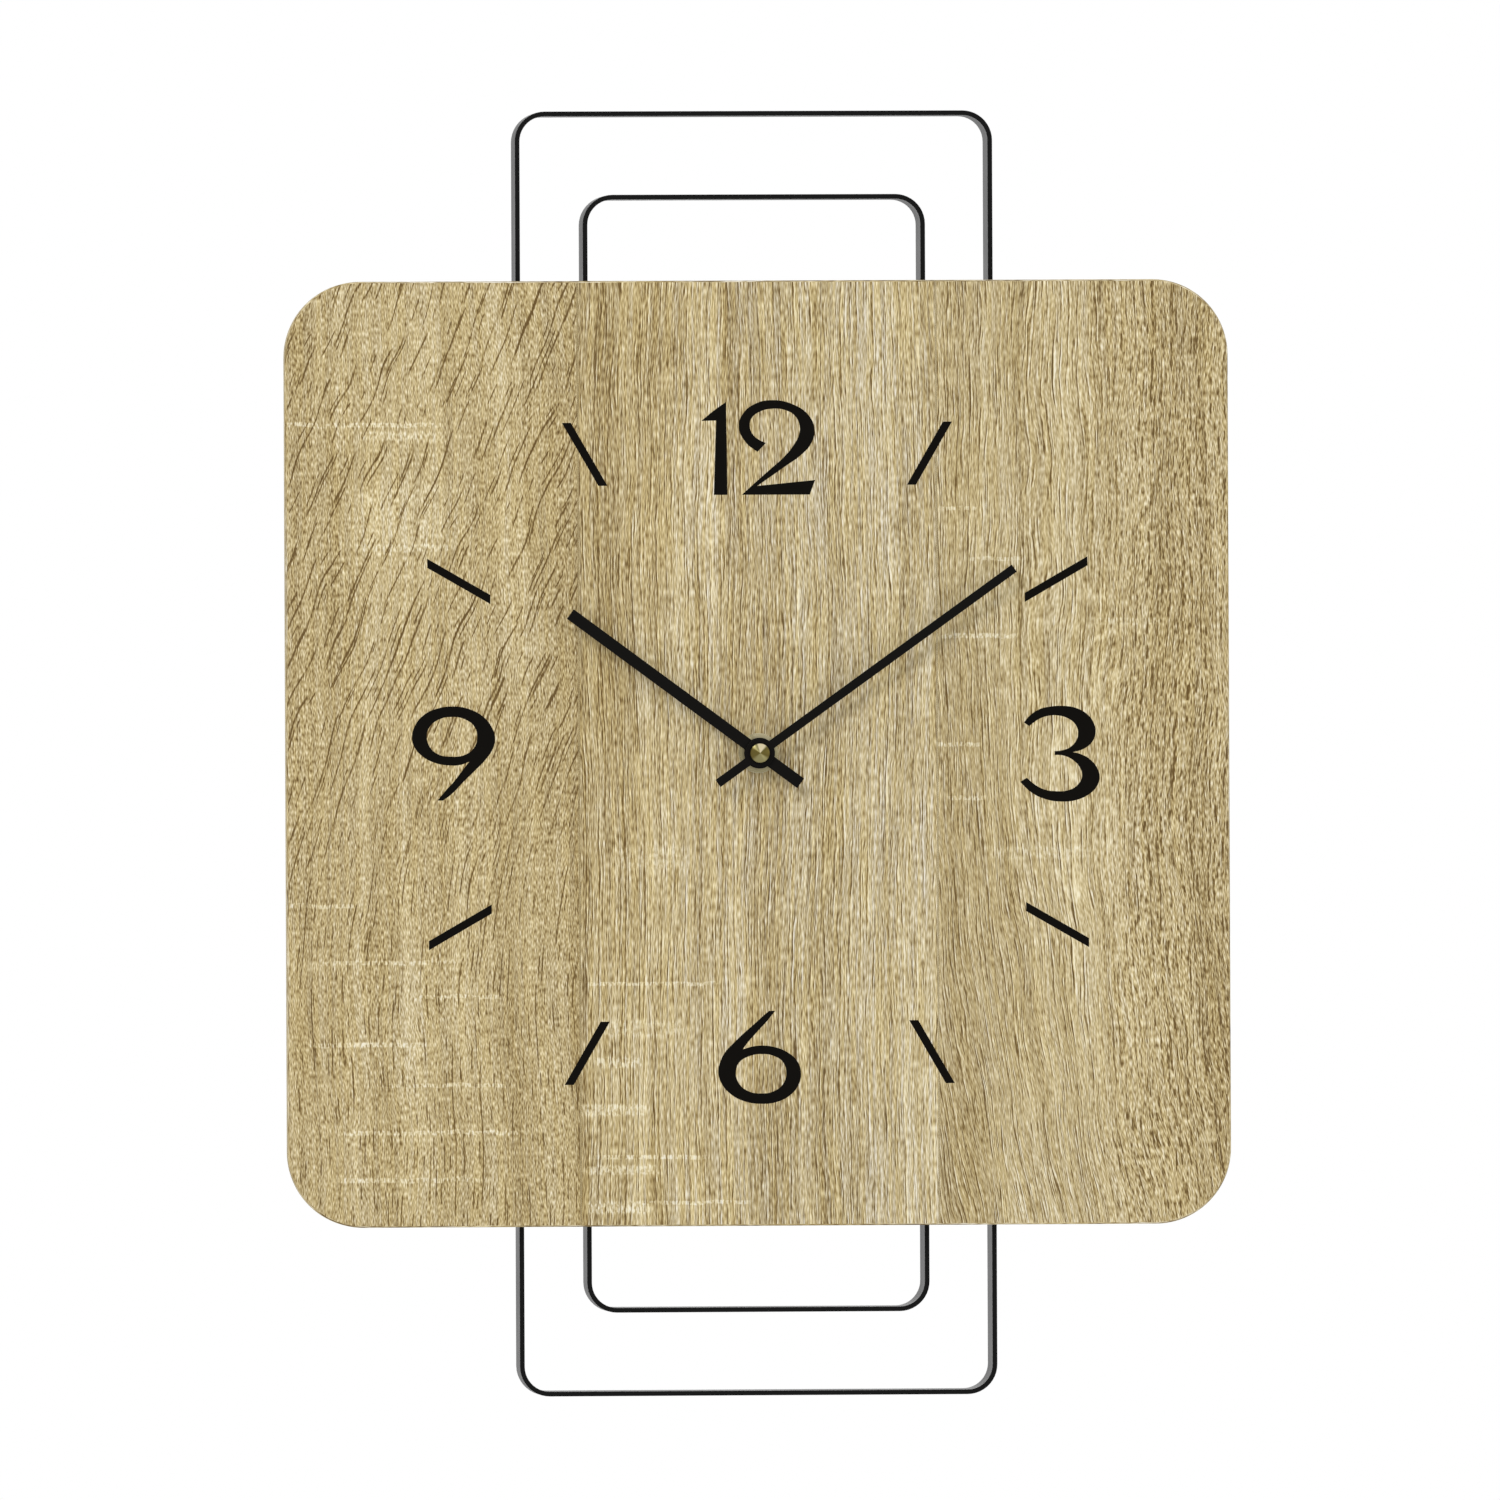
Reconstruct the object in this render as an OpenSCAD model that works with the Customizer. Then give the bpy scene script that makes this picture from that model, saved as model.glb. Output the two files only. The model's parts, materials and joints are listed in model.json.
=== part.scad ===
// Wall clock: a square dial panel on two upright band loops, driven by a quartz movement.
//
// Every module draws in the drawing frame: x to the right, y up, z out from the wall towards
// the room, with the dial centre at x = y = 0 and the wall at z = 0. placed() then turns the
// drawing into the part frame: +X right, +Z up, -Y to the front, with the origin in the
// middle of the keyhole that the clock hangs from.
// Inside the movement a depth is counted from the movement's front face towards the wall.

/* [Panel] */
// Side of the square dial panel
panel_side = 300; // [260:1:340]
// Thickness of the dial panel
panel_t = 8; // [5:0.5:12]
// Radius of the panel's rounded corners
panel_corner_r = 24; // [5:1:40]
// Chamfer around the panel's front and back edges
panel_edge = 0.5; // [0.2:0.1:1]

/* [Band loops] */
// Width of the outer band loop
outer_band_w = 152; // [140:1:200]
// Height of the outer band loop
outer_band_h = 408; // [390:1:460]
// Outside radius of the outer loop's corners
outer_band_r = 9.5; // [4:0.5:20]
// Width of the inner band loop
inner_band_w = 109; // [90:1:120]
// Height of the inner band loop
inner_band_h = 355; // [345:1:375]
// Outside radius of the inner loop's corners
inner_band_r = 9.5; // [4:0.5:20]
// Thickness of the band strip
band_t = 1.5; // [1:0.1:3]
// Depth of the band strip, from the wall forwards
band_depth = 20; // [19:0.5:30]

/* [Crossbars] */
// Height of a crossbar
bar_h = 16; // [12:1:24]
// Thickness of a crossbar
bar_t = 2; // [1.5:0.5:4]
// Distance of each crossbar's middle from the panel's nearer edge
bar_inset = 50; // [30:1:70]
// Distance of the inner crossbar screws from the middle
bar_screw_x = 25; // [12:1:40]
// Shank diameter of the crossbar screws
screw_d = 3; // [2.5:0.1:4]
// Head diameter of the crossbar screws
screw_head_d = 6; // [5:0.1:8]
// Head height of the crossbar screws
screw_head_h = 1.9; // [1.5:0.1:3]
// How far the crossbar screws reach into the panel
screw_bite = 4; // [2:0.5:4.5]

/* [Hanger plate] */
// Width of the hanger plate
hanger_w = 30; // [24:1:40]
// Thickness of the hanger plate
hanger_t = 1; // [0.8:0.1:1.5]
// Inside radius of the hanger plate's bends
hanger_bend_r = 1; // [0.5:0.1:2]
// How far the hanger plate reaches below the dial centre
hanger_foot = 12; // [10:0.5:20]
// Gap between the movement's top and the hanger plate's shelf
hanger_gap = 1; // [0.3:0.1:3]
// Gap between the wall and the hanger tab
tab_gap = 3; // [2:0.1:4]
// Diameter of the keyhole's round entry
keyhole_d = 9; // [7:0.1:11]
// Width of the keyhole's slot
keyhole_slot_w = 4.2; // [3.5:0.1:5]
// Rise from the keyhole's entry to the slot's upper end
keyhole_rise = 8; // [7:0.5:12]
// Metal left around the keyhole
keyhole_edge = 4; // [2:0.5:6]
// Radius of the hanger tab's upper corners
tab_corner_r = 5; // [1:0.5:7]

/* [Movement housing] */
// Side of the square movement housing
case_side = 56; // [56:0.5:60]
// Depth of the movement housing
case_depth = 16; // [16:0.1:16.5]
// Wall thickness of the movement housing
case_wall = 1.2; // [1:0.1:1.2]
// Radius of the movement housing's corners
case_corner_r = 3; // [1.5:0.5:5]
// Chamfer around the housing's front face and the cover's rear face
case_edge = 0.8; // [0.3:0.1:1]
// Depth at which the rear cover meets the front housing
case_split = 11; // [10.5:0.1:12]
// Width of the locating lugs on the rear cover
lug_w = 6; // [4:0.5:9]
// Length of the locating lugs
lug_len = 1.5; // [1:0.1:2]
// Distance of the locating lugs from the middle of a wall
lug_offset = 15; // [12:0.5:18]
// Width of the finger notch below the battery, at the cover's rear face
notch_w = 14; // [8:0.5:16]
// Depth of the finger notch
notch_depth = 3.4; // [1:0.1:3.6]

/* [Battery] */
// Diameter of the cell
cell_d = 14.5; // [13.5:0.1:14.5]
// Length of the cell without its nipple
cell_len = 49.2; // [48:0.1:49.5]
// Diameter of the cell's nipple
nipple_d = 5.5; // [4:0.1:5.5]
// Length of the cell's nipple
nipple_len = 1.2; // [1:0.1:1.4]
// Gap around the cell in its bay
cell_gap = 0.3; // [0.2:0.05:0.4]
// Thickness of the wall between the battery bay and the train
bay_wall = 1; // [0.8:0.1:1]
// Thickness of the battery contacts
contact_t = 0.4; // [0.3:0.1:0.5]
// Width of the contact strip that runs to the circuit board
contact_strip_w = 2.4; // [1.5:0.1:3]
// Width of the contact plate at each end of the cell
contact_plate_w = 9; // [7:0.5:11]

/* [Bushing and nut] */
// Outside diameter of the threaded bushing
thread_d = 8; // [7.8:0.1:8.4]
// Thickness of the rubber washer behind the panel
rubber_t = 0.5; // [0.3:0.1:1]
// Diameter of the rubber washer
rubber_d = 24; // [18:0.5:30]
// Thickness of the washer on the dial
dial_washer_t = 0.5; // [0.3:0.1:1]
// Diameter of the washer on the dial
dial_washer_d = 12.7; // [12.2:0.1:16]
// Height of the fixing nut
fixing_nut_h = 2.4; // [1.8:0.1:3]
// Diameter of the fixing nut
fixing_nut_d = 12; // [10:0.1:12]
// How far the bushing stands out of the fixing nut
bushing_out = 0.5; // [0.2:0.1:1]

/* [Hands] */
// Angle of the hour hand at rest, clockwise from twelve
hour_angle = 306.5; // [0:0.5:360]
// Length of the hour hand from the centre to its tip
hour_len = 74.6; // [50:0.1:85]
// Length of the hour hand's tail
hour_tail = 16.2; // [8:0.1:25]
// Width of the hour hand
hour_w = 3.75; // [2:0.05:6]
// Diameter of the hour hand's eye
hour_eye_d = 9.8; // [9:0.1:12]
// Angle of the minute hand at rest, clockwise from twelve
minute_angle = 54.3; // [0:0.1:360]
// Length of the minute hand from the centre to its tip
minute_len = 100; // [70:0.5:120]
// Length of the minute hand's tail
minute_tail = 16.4; // [8:0.1:25]
// Width of the minute hand
minute_w = 2.8; // [2:0.05:5]
// Diameter of the minute hand's eye
minute_eye_d = 9.2; // [7:0.1:11]
// Thickness of both hands
hand_t = 0.5; // [0.3:0.1:0.8]
// Height of the hour hand's collet
collet_h = 1; // [0.6:0.1:1.5]
// Diameter of the hour hand's collet
collet_d = 7; // [6.5:0.1:8.5]
// Diameter of the minute nut
minute_nut_d = 6.1; // [5:0.1:7]
// Height of the minute nut
minute_nut_h = 1.9; // [1.5:0.1:2.5]
// Gap between parts of the hub that turn past each other
hub_gap = 0.5; // [0.3:0.1:0.8]

/* [Pipes and arbors] */
// Outside diameter of the hour pipe
hour_pipe_d = 5.1; // [5:0.05:5.3]
// Outside diameter of the minute pipe
minute_pipe_d = 3.5; // [3.3:0.05:3.6]
// Diameter of the minute pipe where the centre wheel sits on it
friction_d = 3; // [2.8:0.05:3.2]
// Diameter of the minute pipe's rear journal
journal_d = 2.2; // [2:0.05:2.4]
// Diameter of the minute pipe's threaded tip
tip_d = 2.8; // [2.4:0.05:3]
// Diameter of the wheels' arbors
arbor_d = 1.2; // [1:0.05:1.3]
// Diameter of the arbors' pivots
pivot_d = 0.8; // [0.6:0.05:0.8]
// Length of the arbors' pivots
pivot_len = 0.8; // [0.6:0.05:1]
// Diameter of the post that carries the motion wheel
stud_d = 1.6; // [1.4:0.05:1.7]
// Diameter of the setting knob's arbor
setting_d = 2.4; // [2:0.05:2.5]
// Radial clearance of every running fit
run = 0.05; // [0.02:0.01:0.08]

/* [Gear train] */
// Centre distance of the motion work, and of the setting pinion
motion_distance = 9.6; // [9.5:0.05:9.8]
// Centre distance of the third wheel
third_distance = 10.2; // [10.1:0.05:10.4]
// Centre distance of the intermediate wheel
intermediate_distance = 9; // [8.9:0.05:9.1]
// Distance from the intermediate wheel to the rotor
rotor_distance = 7.7; // [7.6:0.05:7.8]
// Thickness of the motion work's wheels and the centre wheel
motion_t = 0.8; // [0.7:0.05:0.8]
// Thickness of the train's wheels
train_t = 0.6; // [0.5:0.05:0.6]
// Gap between neighbouring wheel layers
layer_gap = 0.5; // [0.45:0.05:0.55]
// Thickness of the middle plate
plate_t = 1; // [0.8:0.1:1]
// Diameter of the setting knob
knob_d = 12; // [9:0.5:13]
// How far the setting knob stands out of the rear cover
knob_out = 1.8; // [1:0.1:2]
// Gap between the setting knob and the well that it turns in
well_gap = 0.3; // [0.2:0.05:0.5]
// Thickness of the well's floor and of its wall
well_wall = 1; // [0.6:0.1:1.2]

/* [Motor] */
// Diameter of the rotor's magnet
magnet_d = 5.2; // [4.6:0.1:5.4]
// Height of the rotor's magnet
magnet_h = 2; // [1.4:0.1:2]
// Air gap between the magnet and the stator
air_gap = 0.4; // [0.3:0.05:0.5]
// Width of the stator around the rotor
stator_rim = 1.2; // [0.8:0.1:1.3]
// Thickness of the stator and of the coil core
lamination_t = 1; // [0.8:0.1:1]
// Distance from the rotor to the coil's middle line
coil_offset = 8.4; // [8.3:0.05:8.5]
// Diameter of the bobbin's flanges
bobbin_d = 7; // [6.4:0.1:7]
// Length of the bobbin
bobbin_len = 16.2; // [14:0.1:16.2]
// Width of the coil core
core_w = 3; // [2.4:0.1:3.2]
// Head diameter of the coil screws
coil_screw_head_d = 2; // [1.8:0.1:2]

/* [Circuit board] */
// Width of the circuit board
board_w = 33; // [30:0.5:34]
// Height of the circuit board
board_h = 9.6; // [9:0.1:9.8]
// Thickness of the circuit board
board_t = 1; // [0.8:0.1:1.2]
// Diameter of the chip's resin cap
chip_d = 6; // [4:0.5:7]
// Diameter of the quartz crystal's can
crystal_d = 2; // [1.5:0.1:2.5]
// Length of the quartz crystal's can
crystal_len = 6; // [5:0.5:8]

/* [Hidden] */
$fn = 96;

// Levels out from the wall
panel_back_z = band_depth + bar_t;
panel_front_z = panel_back_z + panel_t;
bar_offset = panel_side / 2 - bar_inset;
movement_z = panel_back_z - rubber_t - hanger_t;
nut_z = panel_front_z + dial_washer_t;
bushing_top_z = nut_z + fixing_nut_h + bushing_out;
collet_z = bushing_top_z + hub_gap;
hour_hand_z = collet_z + collet_h;
hour_pipe_top_z = hour_hand_z + hand_t;
minute_hand_z = hour_pipe_top_z + hub_gap;
minute_nut_z = minute_hand_z + hand_t;
nut_roof = 0.5;
tip_top_z = minute_nut_z + minute_nut_h - nut_roof;

// The hanger's shelf, tab and keyhole
shelf_y = case_side / 2 + hanger_gap;
tab_y = shelf_y + hanger_t + hanger_bend_r;
keyhole_y = tab_y + keyhole_edge / 2 + keyhole_d / 2;
tab_top_y = keyhole_y + keyhole_rise + keyhole_slot_w / 2 + keyhole_edge;
hanger_hole_d = thread_d + 0.2;

// Clearances of holes that only let a piece through
panel_hole_gap = 0.3;
snug = 0.1;
cut = 1;

// Teeth. The motion work gears the hour hand 12 to 1, and the train gears the rotor's
// 30 turns a minute down to one turn an hour of the centre wheel.
cannon_teeth = 15;
motion_teeth = 45;
motion_pinion_teeth = 12;
hour_teeth = 48;
setting_teeth = 15;
centre_teeth = 64;
third_pinion_teeth = 8;
third_teeth = 60;
seconds_pinion_teeth = 8;
seconds_teeth = 60;
intermediate_pinion_teeth = 12;
intermediate_teeth = 60;
rotor_pinion_teeth = 10;

// Tooth form, in modules and as shares of the pitch
addendum = 0.9;
dedendum = 1.2;
tooth_fill = 0.8;
tip_fill = 0.35;

// Modules, from the centre distances
motion_module = 2 * motion_distance / (cannon_teeth + motion_teeth);
hour_module = 2 * motion_distance / (motion_pinion_teeth + hour_teeth);
third_module = 2 * third_distance / (seconds_pinion_teeth + third_teeth);
centre_module = 2 * third_distance / (third_pinion_teeth + centre_teeth);
seconds_module = 2 * intermediate_distance / (intermediate_pinion_teeth + seconds_teeth);
rotor_module = 2 * rotor_distance / (rotor_pinion_teeth + intermediate_teeth);

// Directions from one axis to the next, and the axes
motion_way = 60;
setting_way = 30;
third_way = 150;
intermediate_way = -20;
rotor_way = 45;
centre_axis = [0, 0];
motion_axis = step(centre_axis, motion_distance, motion_way);
setting_axis = step(motion_axis, motion_distance, setting_way);
third_axis = step(centre_axis, third_distance, third_way);
intermediate_axis = step(centre_axis, intermediate_distance, intermediate_way);
rotor_axis = step(intermediate_axis, rotor_distance, rotor_way);

// Pinions stand out past the wheels that they mesh with, and bosses carry the pivots
pinion_over = 0.2;
boss_wall = 1.1;
boss_gap = 0.1;

// Depths of the wheel layers behind the movement's front face
hour_depth = case_wall + layer_gap;
motion_depth = hour_depth + motion_t + layer_gap;
centre_depth = motion_depth + motion_t + layer_gap;
plate_depth = centre_depth + motion_t + layer_gap;
third_depth = plate_depth + plate_t + layer_gap;
seconds_depth = third_depth + train_t + layer_gap;
intermediate_depth = seconds_depth + train_t + layer_gap;
rotor_end_depth = intermediate_depth + train_t + pinion_over;
cover_wall_depth = case_depth - case_wall;
knob_depth = cover_wall_depth + boss_gap;
well_depth = knob_depth - well_gap;
well_d = knob_d + 2 * well_gap;
third_boss_depth = centre_depth - pinion_over - layer_gap;

// Motor
rotor_magnet_depth = intermediate_depth - magnet_h - 2 * pinion_over;
stator_depth = rotor_magnet_depth + (magnet_h - lamination_t) / 2;
core_depth = stator_depth + lamination_t;
coil_x = rotor_axis.x + coil_offset;
coil_axis_depth = core_depth + lamination_t / 2;
flange_t = 0.8;
bobbin_wall = 0.6;
coil_gap = 0.5;
coil_screw_d = 1.2;
coil_screw_head_h = 0.7;
coil_foot = coil_screw_head_d + 2 * snug;
core_half_len = bobbin_len / 2 + coil_foot;
bobbin_tube_d = norm([core_w, lamination_t]) + 2 * bobbin_wall;
stator_leg_w = 2.4;
stator_leg_x = coil_x - bobbin_d / 2 - coil_gap - stator_leg_w;
stator_foot_x = coil_x + core_w / 2;
stator_pins = [for (side = [-1, 1]) [stator_leg_x + stator_leg_w / 2, side * bobbin_len * 0.4]];
pin_d = 1;

// Battery bay along the housing's lower edge
inner_half = case_side / 2 - case_wall;
cell_y = cell_gap + cell_d / 2 - inner_half;
bay_top_y = cell_y + cell_d / 2 + cell_gap;
cell_depth = case_wall + cell_gap + cell_d / 2;
cell_half = (cell_len + nipple_len) / 2;
contact_seat = 0.8;

// Middle plate, circuit board and the posts that carry them
plate_gap = 0.5;
plate_left_x = -24;
plate_right_x = stator_leg_x + stator_leg_w - plate_gap;
plate_bottom_y = bay_top_y + bay_wall + plate_gap;
board_depth = seconds_depth + layer_gap;
board_left_x = -22;
board_top_y = inner_half - cut;
board_bottom_y = board_top_y - board_h;
post_d = 3;
post_inset = 2.2;
board_post_y = board_top_y - post_inset;
plate_top_y = board_post_y - post_d / 2 - plate_gap;
plate_posts = [
    for (x = [plate_left_x + post_inset, plate_right_x - post_inset])
        for (y = [plate_bottom_y + post_inset, plate_top_y - post_inset]) [x, y]
];
board_posts = [
    for (x = [board_left_x + post_inset, board_left_x + board_w - post_inset]) [x, board_post_y]
];
contact_rail_y = board_bottom_y + board_h / 2;
rail_overlap = 2.5;

function polar(r, a) = [r * cos(a), r * sin(a)];

function step(from, distance, way) = from + polar(distance, way);

// Phase of the second gear of a pair in mesh. way is the direction from the first to the second.
function mate_phase(way, teeth, phase, mate_teeth) =
    way + 180 + 180 / mate_teeth + (way - phase) * teeth / mate_teeth;

// Outline of a gear: radial flanks to the pitch circle, then a tip that narrows.
function gear_outline(teeth, mod, phase) =
    let (
        pitch_r = teeth * mod / 2,
        half = 90 / teeth * tooth_fill,
        flank = [
            [pitch_r - dedendum * mod, half],
            [pitch_r, half],
            [pitch_r + addendum * mod, half * tip_fill]
        ]
    )
    [
        for (i = [0:teeth - 1])
            let (a = phase + 360 * i / teeth)
                each concat(
                    [for (p = flank) polar(p[0], a - p[1])],
                    [for (k = [2:-1:0]) polar(flank[k][0], a + flank[k][1])]
                )
    ];

// Turns the drawing frame into the part frame.
module placed() {
    translate([0, tab_gap + hanger_t / 2, -keyhole_y])
        rotate([90, 0, 0]) children();
}

// A flat outline, as a slab from one level to another out from the wall.
module slab(z, t) {
    translate([0, 0, z]) linear_extrude(t) children();
}

// A flat outline in the movement, as a slab from one depth to another.
module layer(depth, t) {
    translate([0, 0, movement_z - depth - t]) linear_extrude(t) children();
}

// A round shaft or a bore in the movement, between two depths.
module rod(axis, from, to, d) {
    translate([axis.x, axis.y, movement_z - to]) cylinder(h = to - from, d = d);
}

module at(axis) {
    translate([axis.x, axis.y]) children();
}

module rounded_rect(w, h, r) {
    square([w - 2 * r, h], center = true);
    square([w, h - 2 * r], center = true);
    for (x = [-1, 1])
        for (y = [-1, 1])
            translate([x * (w / 2 - r), y * (h / 2 - r)]) circle(r);
}

// Half section of a slab, with a chamfer at its low and its high edge where that is above 0.
function slab_section(half, t, low, high) = [
    [0, 0],
    [half - low, 0],
    if (low > 0) [half, low],
    if (high > 0) [half, t - high],
    [half - high, t],
    [0, t]
];

// A rounded rectangle as a slab, with chamfers around its lower and upper faces.
module chamfered_slab(z, t, w, h, r, low, high) {
    translate([0, 0, z]) {
        for (turn = [0, 180]) rotate(turn) {
            rotate([90, 0, 0]) linear_extrude(h - 2 * r, center = true)
                polygon(slab_section(w / 2, t, low, high));
            rotate([90, 0, 90]) linear_extrude(w - 2 * r, center = true)
                polygon(slab_section(h / 2, t, low, high));
        }
        for (x = [-1, 1])
            for (y = [-1, 1])
                translate([x * (w / 2 - r), y * (h / 2 - r)])
                    rotate_extrude() polygon(slab_section(r, t, low, high));
    }
}

module ring(outer_d, inner_d) {
    difference() {
        circle(d = outer_d);
        circle(d = inner_d);
    }
}

module gear(teeth, mod, phase) {
    polygon(gear_outline(teeth, mod, phase));
}

// A band loop: a flat strip bent on edge into an upright rounded rectangle.
module band_loop(w, h, r) {
    slab(0, band_depth) difference() {
        rounded_rect(w, h, r);
        rounded_rect(w - 2 * band_t, h - 2 * band_t, r - band_t);
    }
}

bar_screw_xs = [
    for (side = [-1, 1])
        for (x = [bar_screw_x, (outer_band_w + inner_band_w) / 4 - band_t / 2]) side * x
];

module dial_panel() {
    color("burlywood") placed() difference() {
        chamfered_slab(
            panel_back_z, panel_t, panel_side, panel_side, panel_corner_r, panel_edge, panel_edge
        );
        slab(panel_back_z - cut, panel_t + 2 * cut) circle(d = thread_d + 2 * panel_hole_gap);
        for (x = bar_screw_xs)
            for (side = [-1, 1])
                translate([x, side * bar_offset, panel_back_z - cut])
                    cylinder(h = screw_bite + cut, d = screw_d);
    }
}

module outer_band() {
    color([0.08, 0.08, 0.08]) placed() band_loop(outer_band_w, outer_band_h, outer_band_r);
}

module inner_band() {
    color([0.08, 0.08, 0.08]) placed() band_loop(inner_band_w, inner_band_h, inner_band_r);
}

// A flat bar across the front edges of both loops, screwed to the back of the panel.
module crossbar(side) {
    color([0.1, 0.1, 0.1]) placed() slab(band_depth, bar_t)
        translate([0, side * bar_offset]) difference() {
            square([outer_band_w, bar_h], center = true);
            for (x = bar_screw_xs) translate([x, 0]) circle(d = screw_d + 2 * snug);
        }
}

module upper_crossbar() {
    crossbar(1);
}

module lower_crossbar() {
    crossbar(-1);
}

// A pan-head wood screw with a cross recess, its head against the crossbar's rear face.
module crossbar_screw() {
    head_edge = screw_head_h / 3;
    head_z = band_depth - screw_head_h;
    tip_z = panel_back_z + screw_bite;
    difference() {
        rotate_extrude() polygon([
            [0, head_z],
            [screw_head_d / 2 - head_edge, head_z],
            [screw_head_d / 2, head_z + head_edge],
            [screw_head_d / 2, band_depth],
            [screw_d / 2, band_depth],
            [screw_d / 2, tip_z - screw_d / 2],
            [0, tip_z]
        ]);
        for (turn = [0, 90])
            translate([0, 0, head_z]) rotate(turn)
                cube([screw_head_d / 2, screw_head_d / 7, screw_head_h], center = true);
    }
}

module crossbar_screws() {
    color("dimgray") placed()
        for (x = bar_screw_xs)
            for (side = [-1, 1]) translate([x, side * bar_offset, 0]) crossbar_screw();
}

// A quarter bend of the hanger plate, seen from the side, with its hollow towards the corner
// at the origin.
module bend() {
    intersection() {
        ring(2 * (hanger_bend_r + hanger_t), 2 * hanger_bend_r);
        square(hanger_bend_r + hanger_t);
    }
}

// Side view of the hanger plate: y up is drawn to the right, z out from the wall upwards.
module hanger_profile() {
    shelf_back_z = tab_gap + hanger_t + hanger_bend_r;
    front_bend_z = movement_z - hanger_bend_r;
    translate([-hanger_foot, movement_z]) square([shelf_y - hanger_bend_r + hanger_foot, hanger_t]);
    translate([shelf_y - hanger_bend_r, front_bend_z]) bend();
    translate([shelf_y, shelf_back_z]) square([hanger_t, front_bend_z - shelf_back_z]);
    translate([tab_y, shelf_back_z]) rotate(180) bend();
    translate([tab_y, tab_gap]) square([tab_top_y - tab_y, hanger_t]);
}

// Front view that trims the hanger plate: round at the foot, with rounded tab corners.
module hanger_outline() {
    circle(d = 2 * hanger_foot);
    translate([-hanger_w / 2, 0]) square([hanger_w, tab_top_y - tab_corner_r]);
    for (side = [-1, 1])
        translate([side * (hanger_w / 2 - tab_corner_r), tab_top_y - tab_corner_r])
            circle(tab_corner_r);
    translate([-hanger_w / 2 + tab_corner_r, tab_top_y - 2 * tab_corner_r])
        square([hanger_w - 2 * tab_corner_r, 2 * tab_corner_r]);
}

module hanger_plate() {
    color("silver") placed() difference() {
        intersection() {
            translate([-hanger_w / 2, 0, 0]) rotate([90, 0, 90]) linear_extrude(hanger_w) hanger_profile();
            slab(0, panel_back_z) hanger_outline();
        }
        translate([0, 0, movement_z - cut]) cylinder(h = hanger_t + 2 * cut, d = hanger_hole_d);
        translate([0, keyhole_y, tab_gap - cut]) cylinder(h = hanger_t + 2 * cut, d = keyhole_d);
        translate([0, keyhole_y + keyhole_rise, tab_gap - cut])
            cylinder(h = hanger_t + 2 * cut, d = keyhole_slot_w);
        translate([-keyhole_slot_w / 2, keyhole_y, tab_gap - cut])
            cube([keyhole_slot_w, keyhole_rise, hanger_t + 2 * cut]);
    }
}

module rubber_washer() {
    color([0.15, 0.15, 0.15]) placed()
        slab(movement_z + hanger_t, rubber_t) ring(rubber_d, thread_d + 2 * snug);
}

module dial_washer() {
    color("goldenrod") placed() slab(panel_front_z, dial_washer_t) ring(dial_washer_d, thread_d + 2 * snug);
}

module fixing_nut() {
    nut_edge = fixing_nut_h / 6;
    color("goldenrod") placed() translate([0, 0, nut_z]) rotate_extrude() polygon([
        [thread_d / 2, 0],
        [fixing_nut_d / 2, 0],
        [fixing_nut_d / 2, fixing_nut_h - nut_edge],
        [fixing_nut_d / 2 - nut_edge, fixing_nut_h],
        [thread_d / 2, fixing_nut_h]
    ]);
}

// The bushing is pressed into the housing's front wall and runs out through the panel.
module threaded_bushing() {
    foot_z = movement_z - case_wall;
    color("goldenrod") placed()
        slab(foot_z, bushing_top_z - foot_z) ring(thread_d, hour_pipe_d + 2 * run);
}

// A flat hand with square ends and a round eye, pointing to twelve.
module hand_outline(len, tail, w, eye_d, hole_d) {
    difference() {
        union() {
            translate([-w / 2, -tail]) square([w, tail + len]);
            circle(d = eye_d);
        }
        circle(d = hole_d);
    }
}

module hour_hand() {
    color([0.05, 0.05, 0.05]) placed() rotate(-hour_angle)
        slab(hour_hand_z, hand_t) hand_outline(hour_len, hour_tail, hour_w, hour_eye_d, hour_pipe_d);
}

module hour_collet() {
    color("goldenrod") placed() slab(collet_z, collet_h) ring(collet_d, hour_pipe_d);
}

module minute_hand() {
    color([0.05, 0.05, 0.05]) placed() rotate(-minute_angle)
        slab(minute_hand_z, hand_t) hand_outline(minute_len, minute_tail, minute_w, minute_eye_d, tip_d);
}

// A turned cap nut on the minute pipe's tip.
module minute_nut() {
    nut_edge = minute_nut_h / 6;
    color("gold") placed() translate([0, 0, minute_nut_z]) rotate_extrude() polygon([
        [tip_d / 2, 0],
        [minute_nut_d / 2, 0],
        [minute_nut_d / 2, minute_nut_h - nut_edge],
        [minute_nut_d / 2 - nut_edge, minute_nut_h],
        [0, minute_nut_h],
        [0, minute_nut_h - nut_roof],
        [tip_d / 2, minute_nut_h - nut_roof]
    ]);
}

// Slots or lugs in the middle of the housing's walls, two on each wall.
module lugs(gap) {
    for (turn = [0:90:270])
        for (side = [-1, 1])
            rotate(turn) translate([side * lug_offset, case_side / 2 - case_wall / 2])
                square([lug_w + 2 * gap, case_wall + (gap > 0 ? cut : 0)], center = true);
}

module case_walls() {
    difference() {
        rounded_rect(case_side, case_side, case_corner_r);
        rounded_rect(2 * inner_half, 2 * inner_half, case_corner_r - case_wall / 2);
    }
}

// The wall between the battery bay and the train, short at both ends for the contacts.
module bay_partition() {
    reach = inner_half - contact_seat - contact_t;
    translate([-reach, bay_top_y]) square([2 * reach, bay_wall]);
}

// A post with a locating pin through the plate or board that it carries.
module post(axis, seat_depth, plate) {
    rod(axis, case_wall, seat_depth, post_d);
    rod(axis, seat_depth, seat_depth + plate + pinion_over, pin_d);
}

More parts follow.
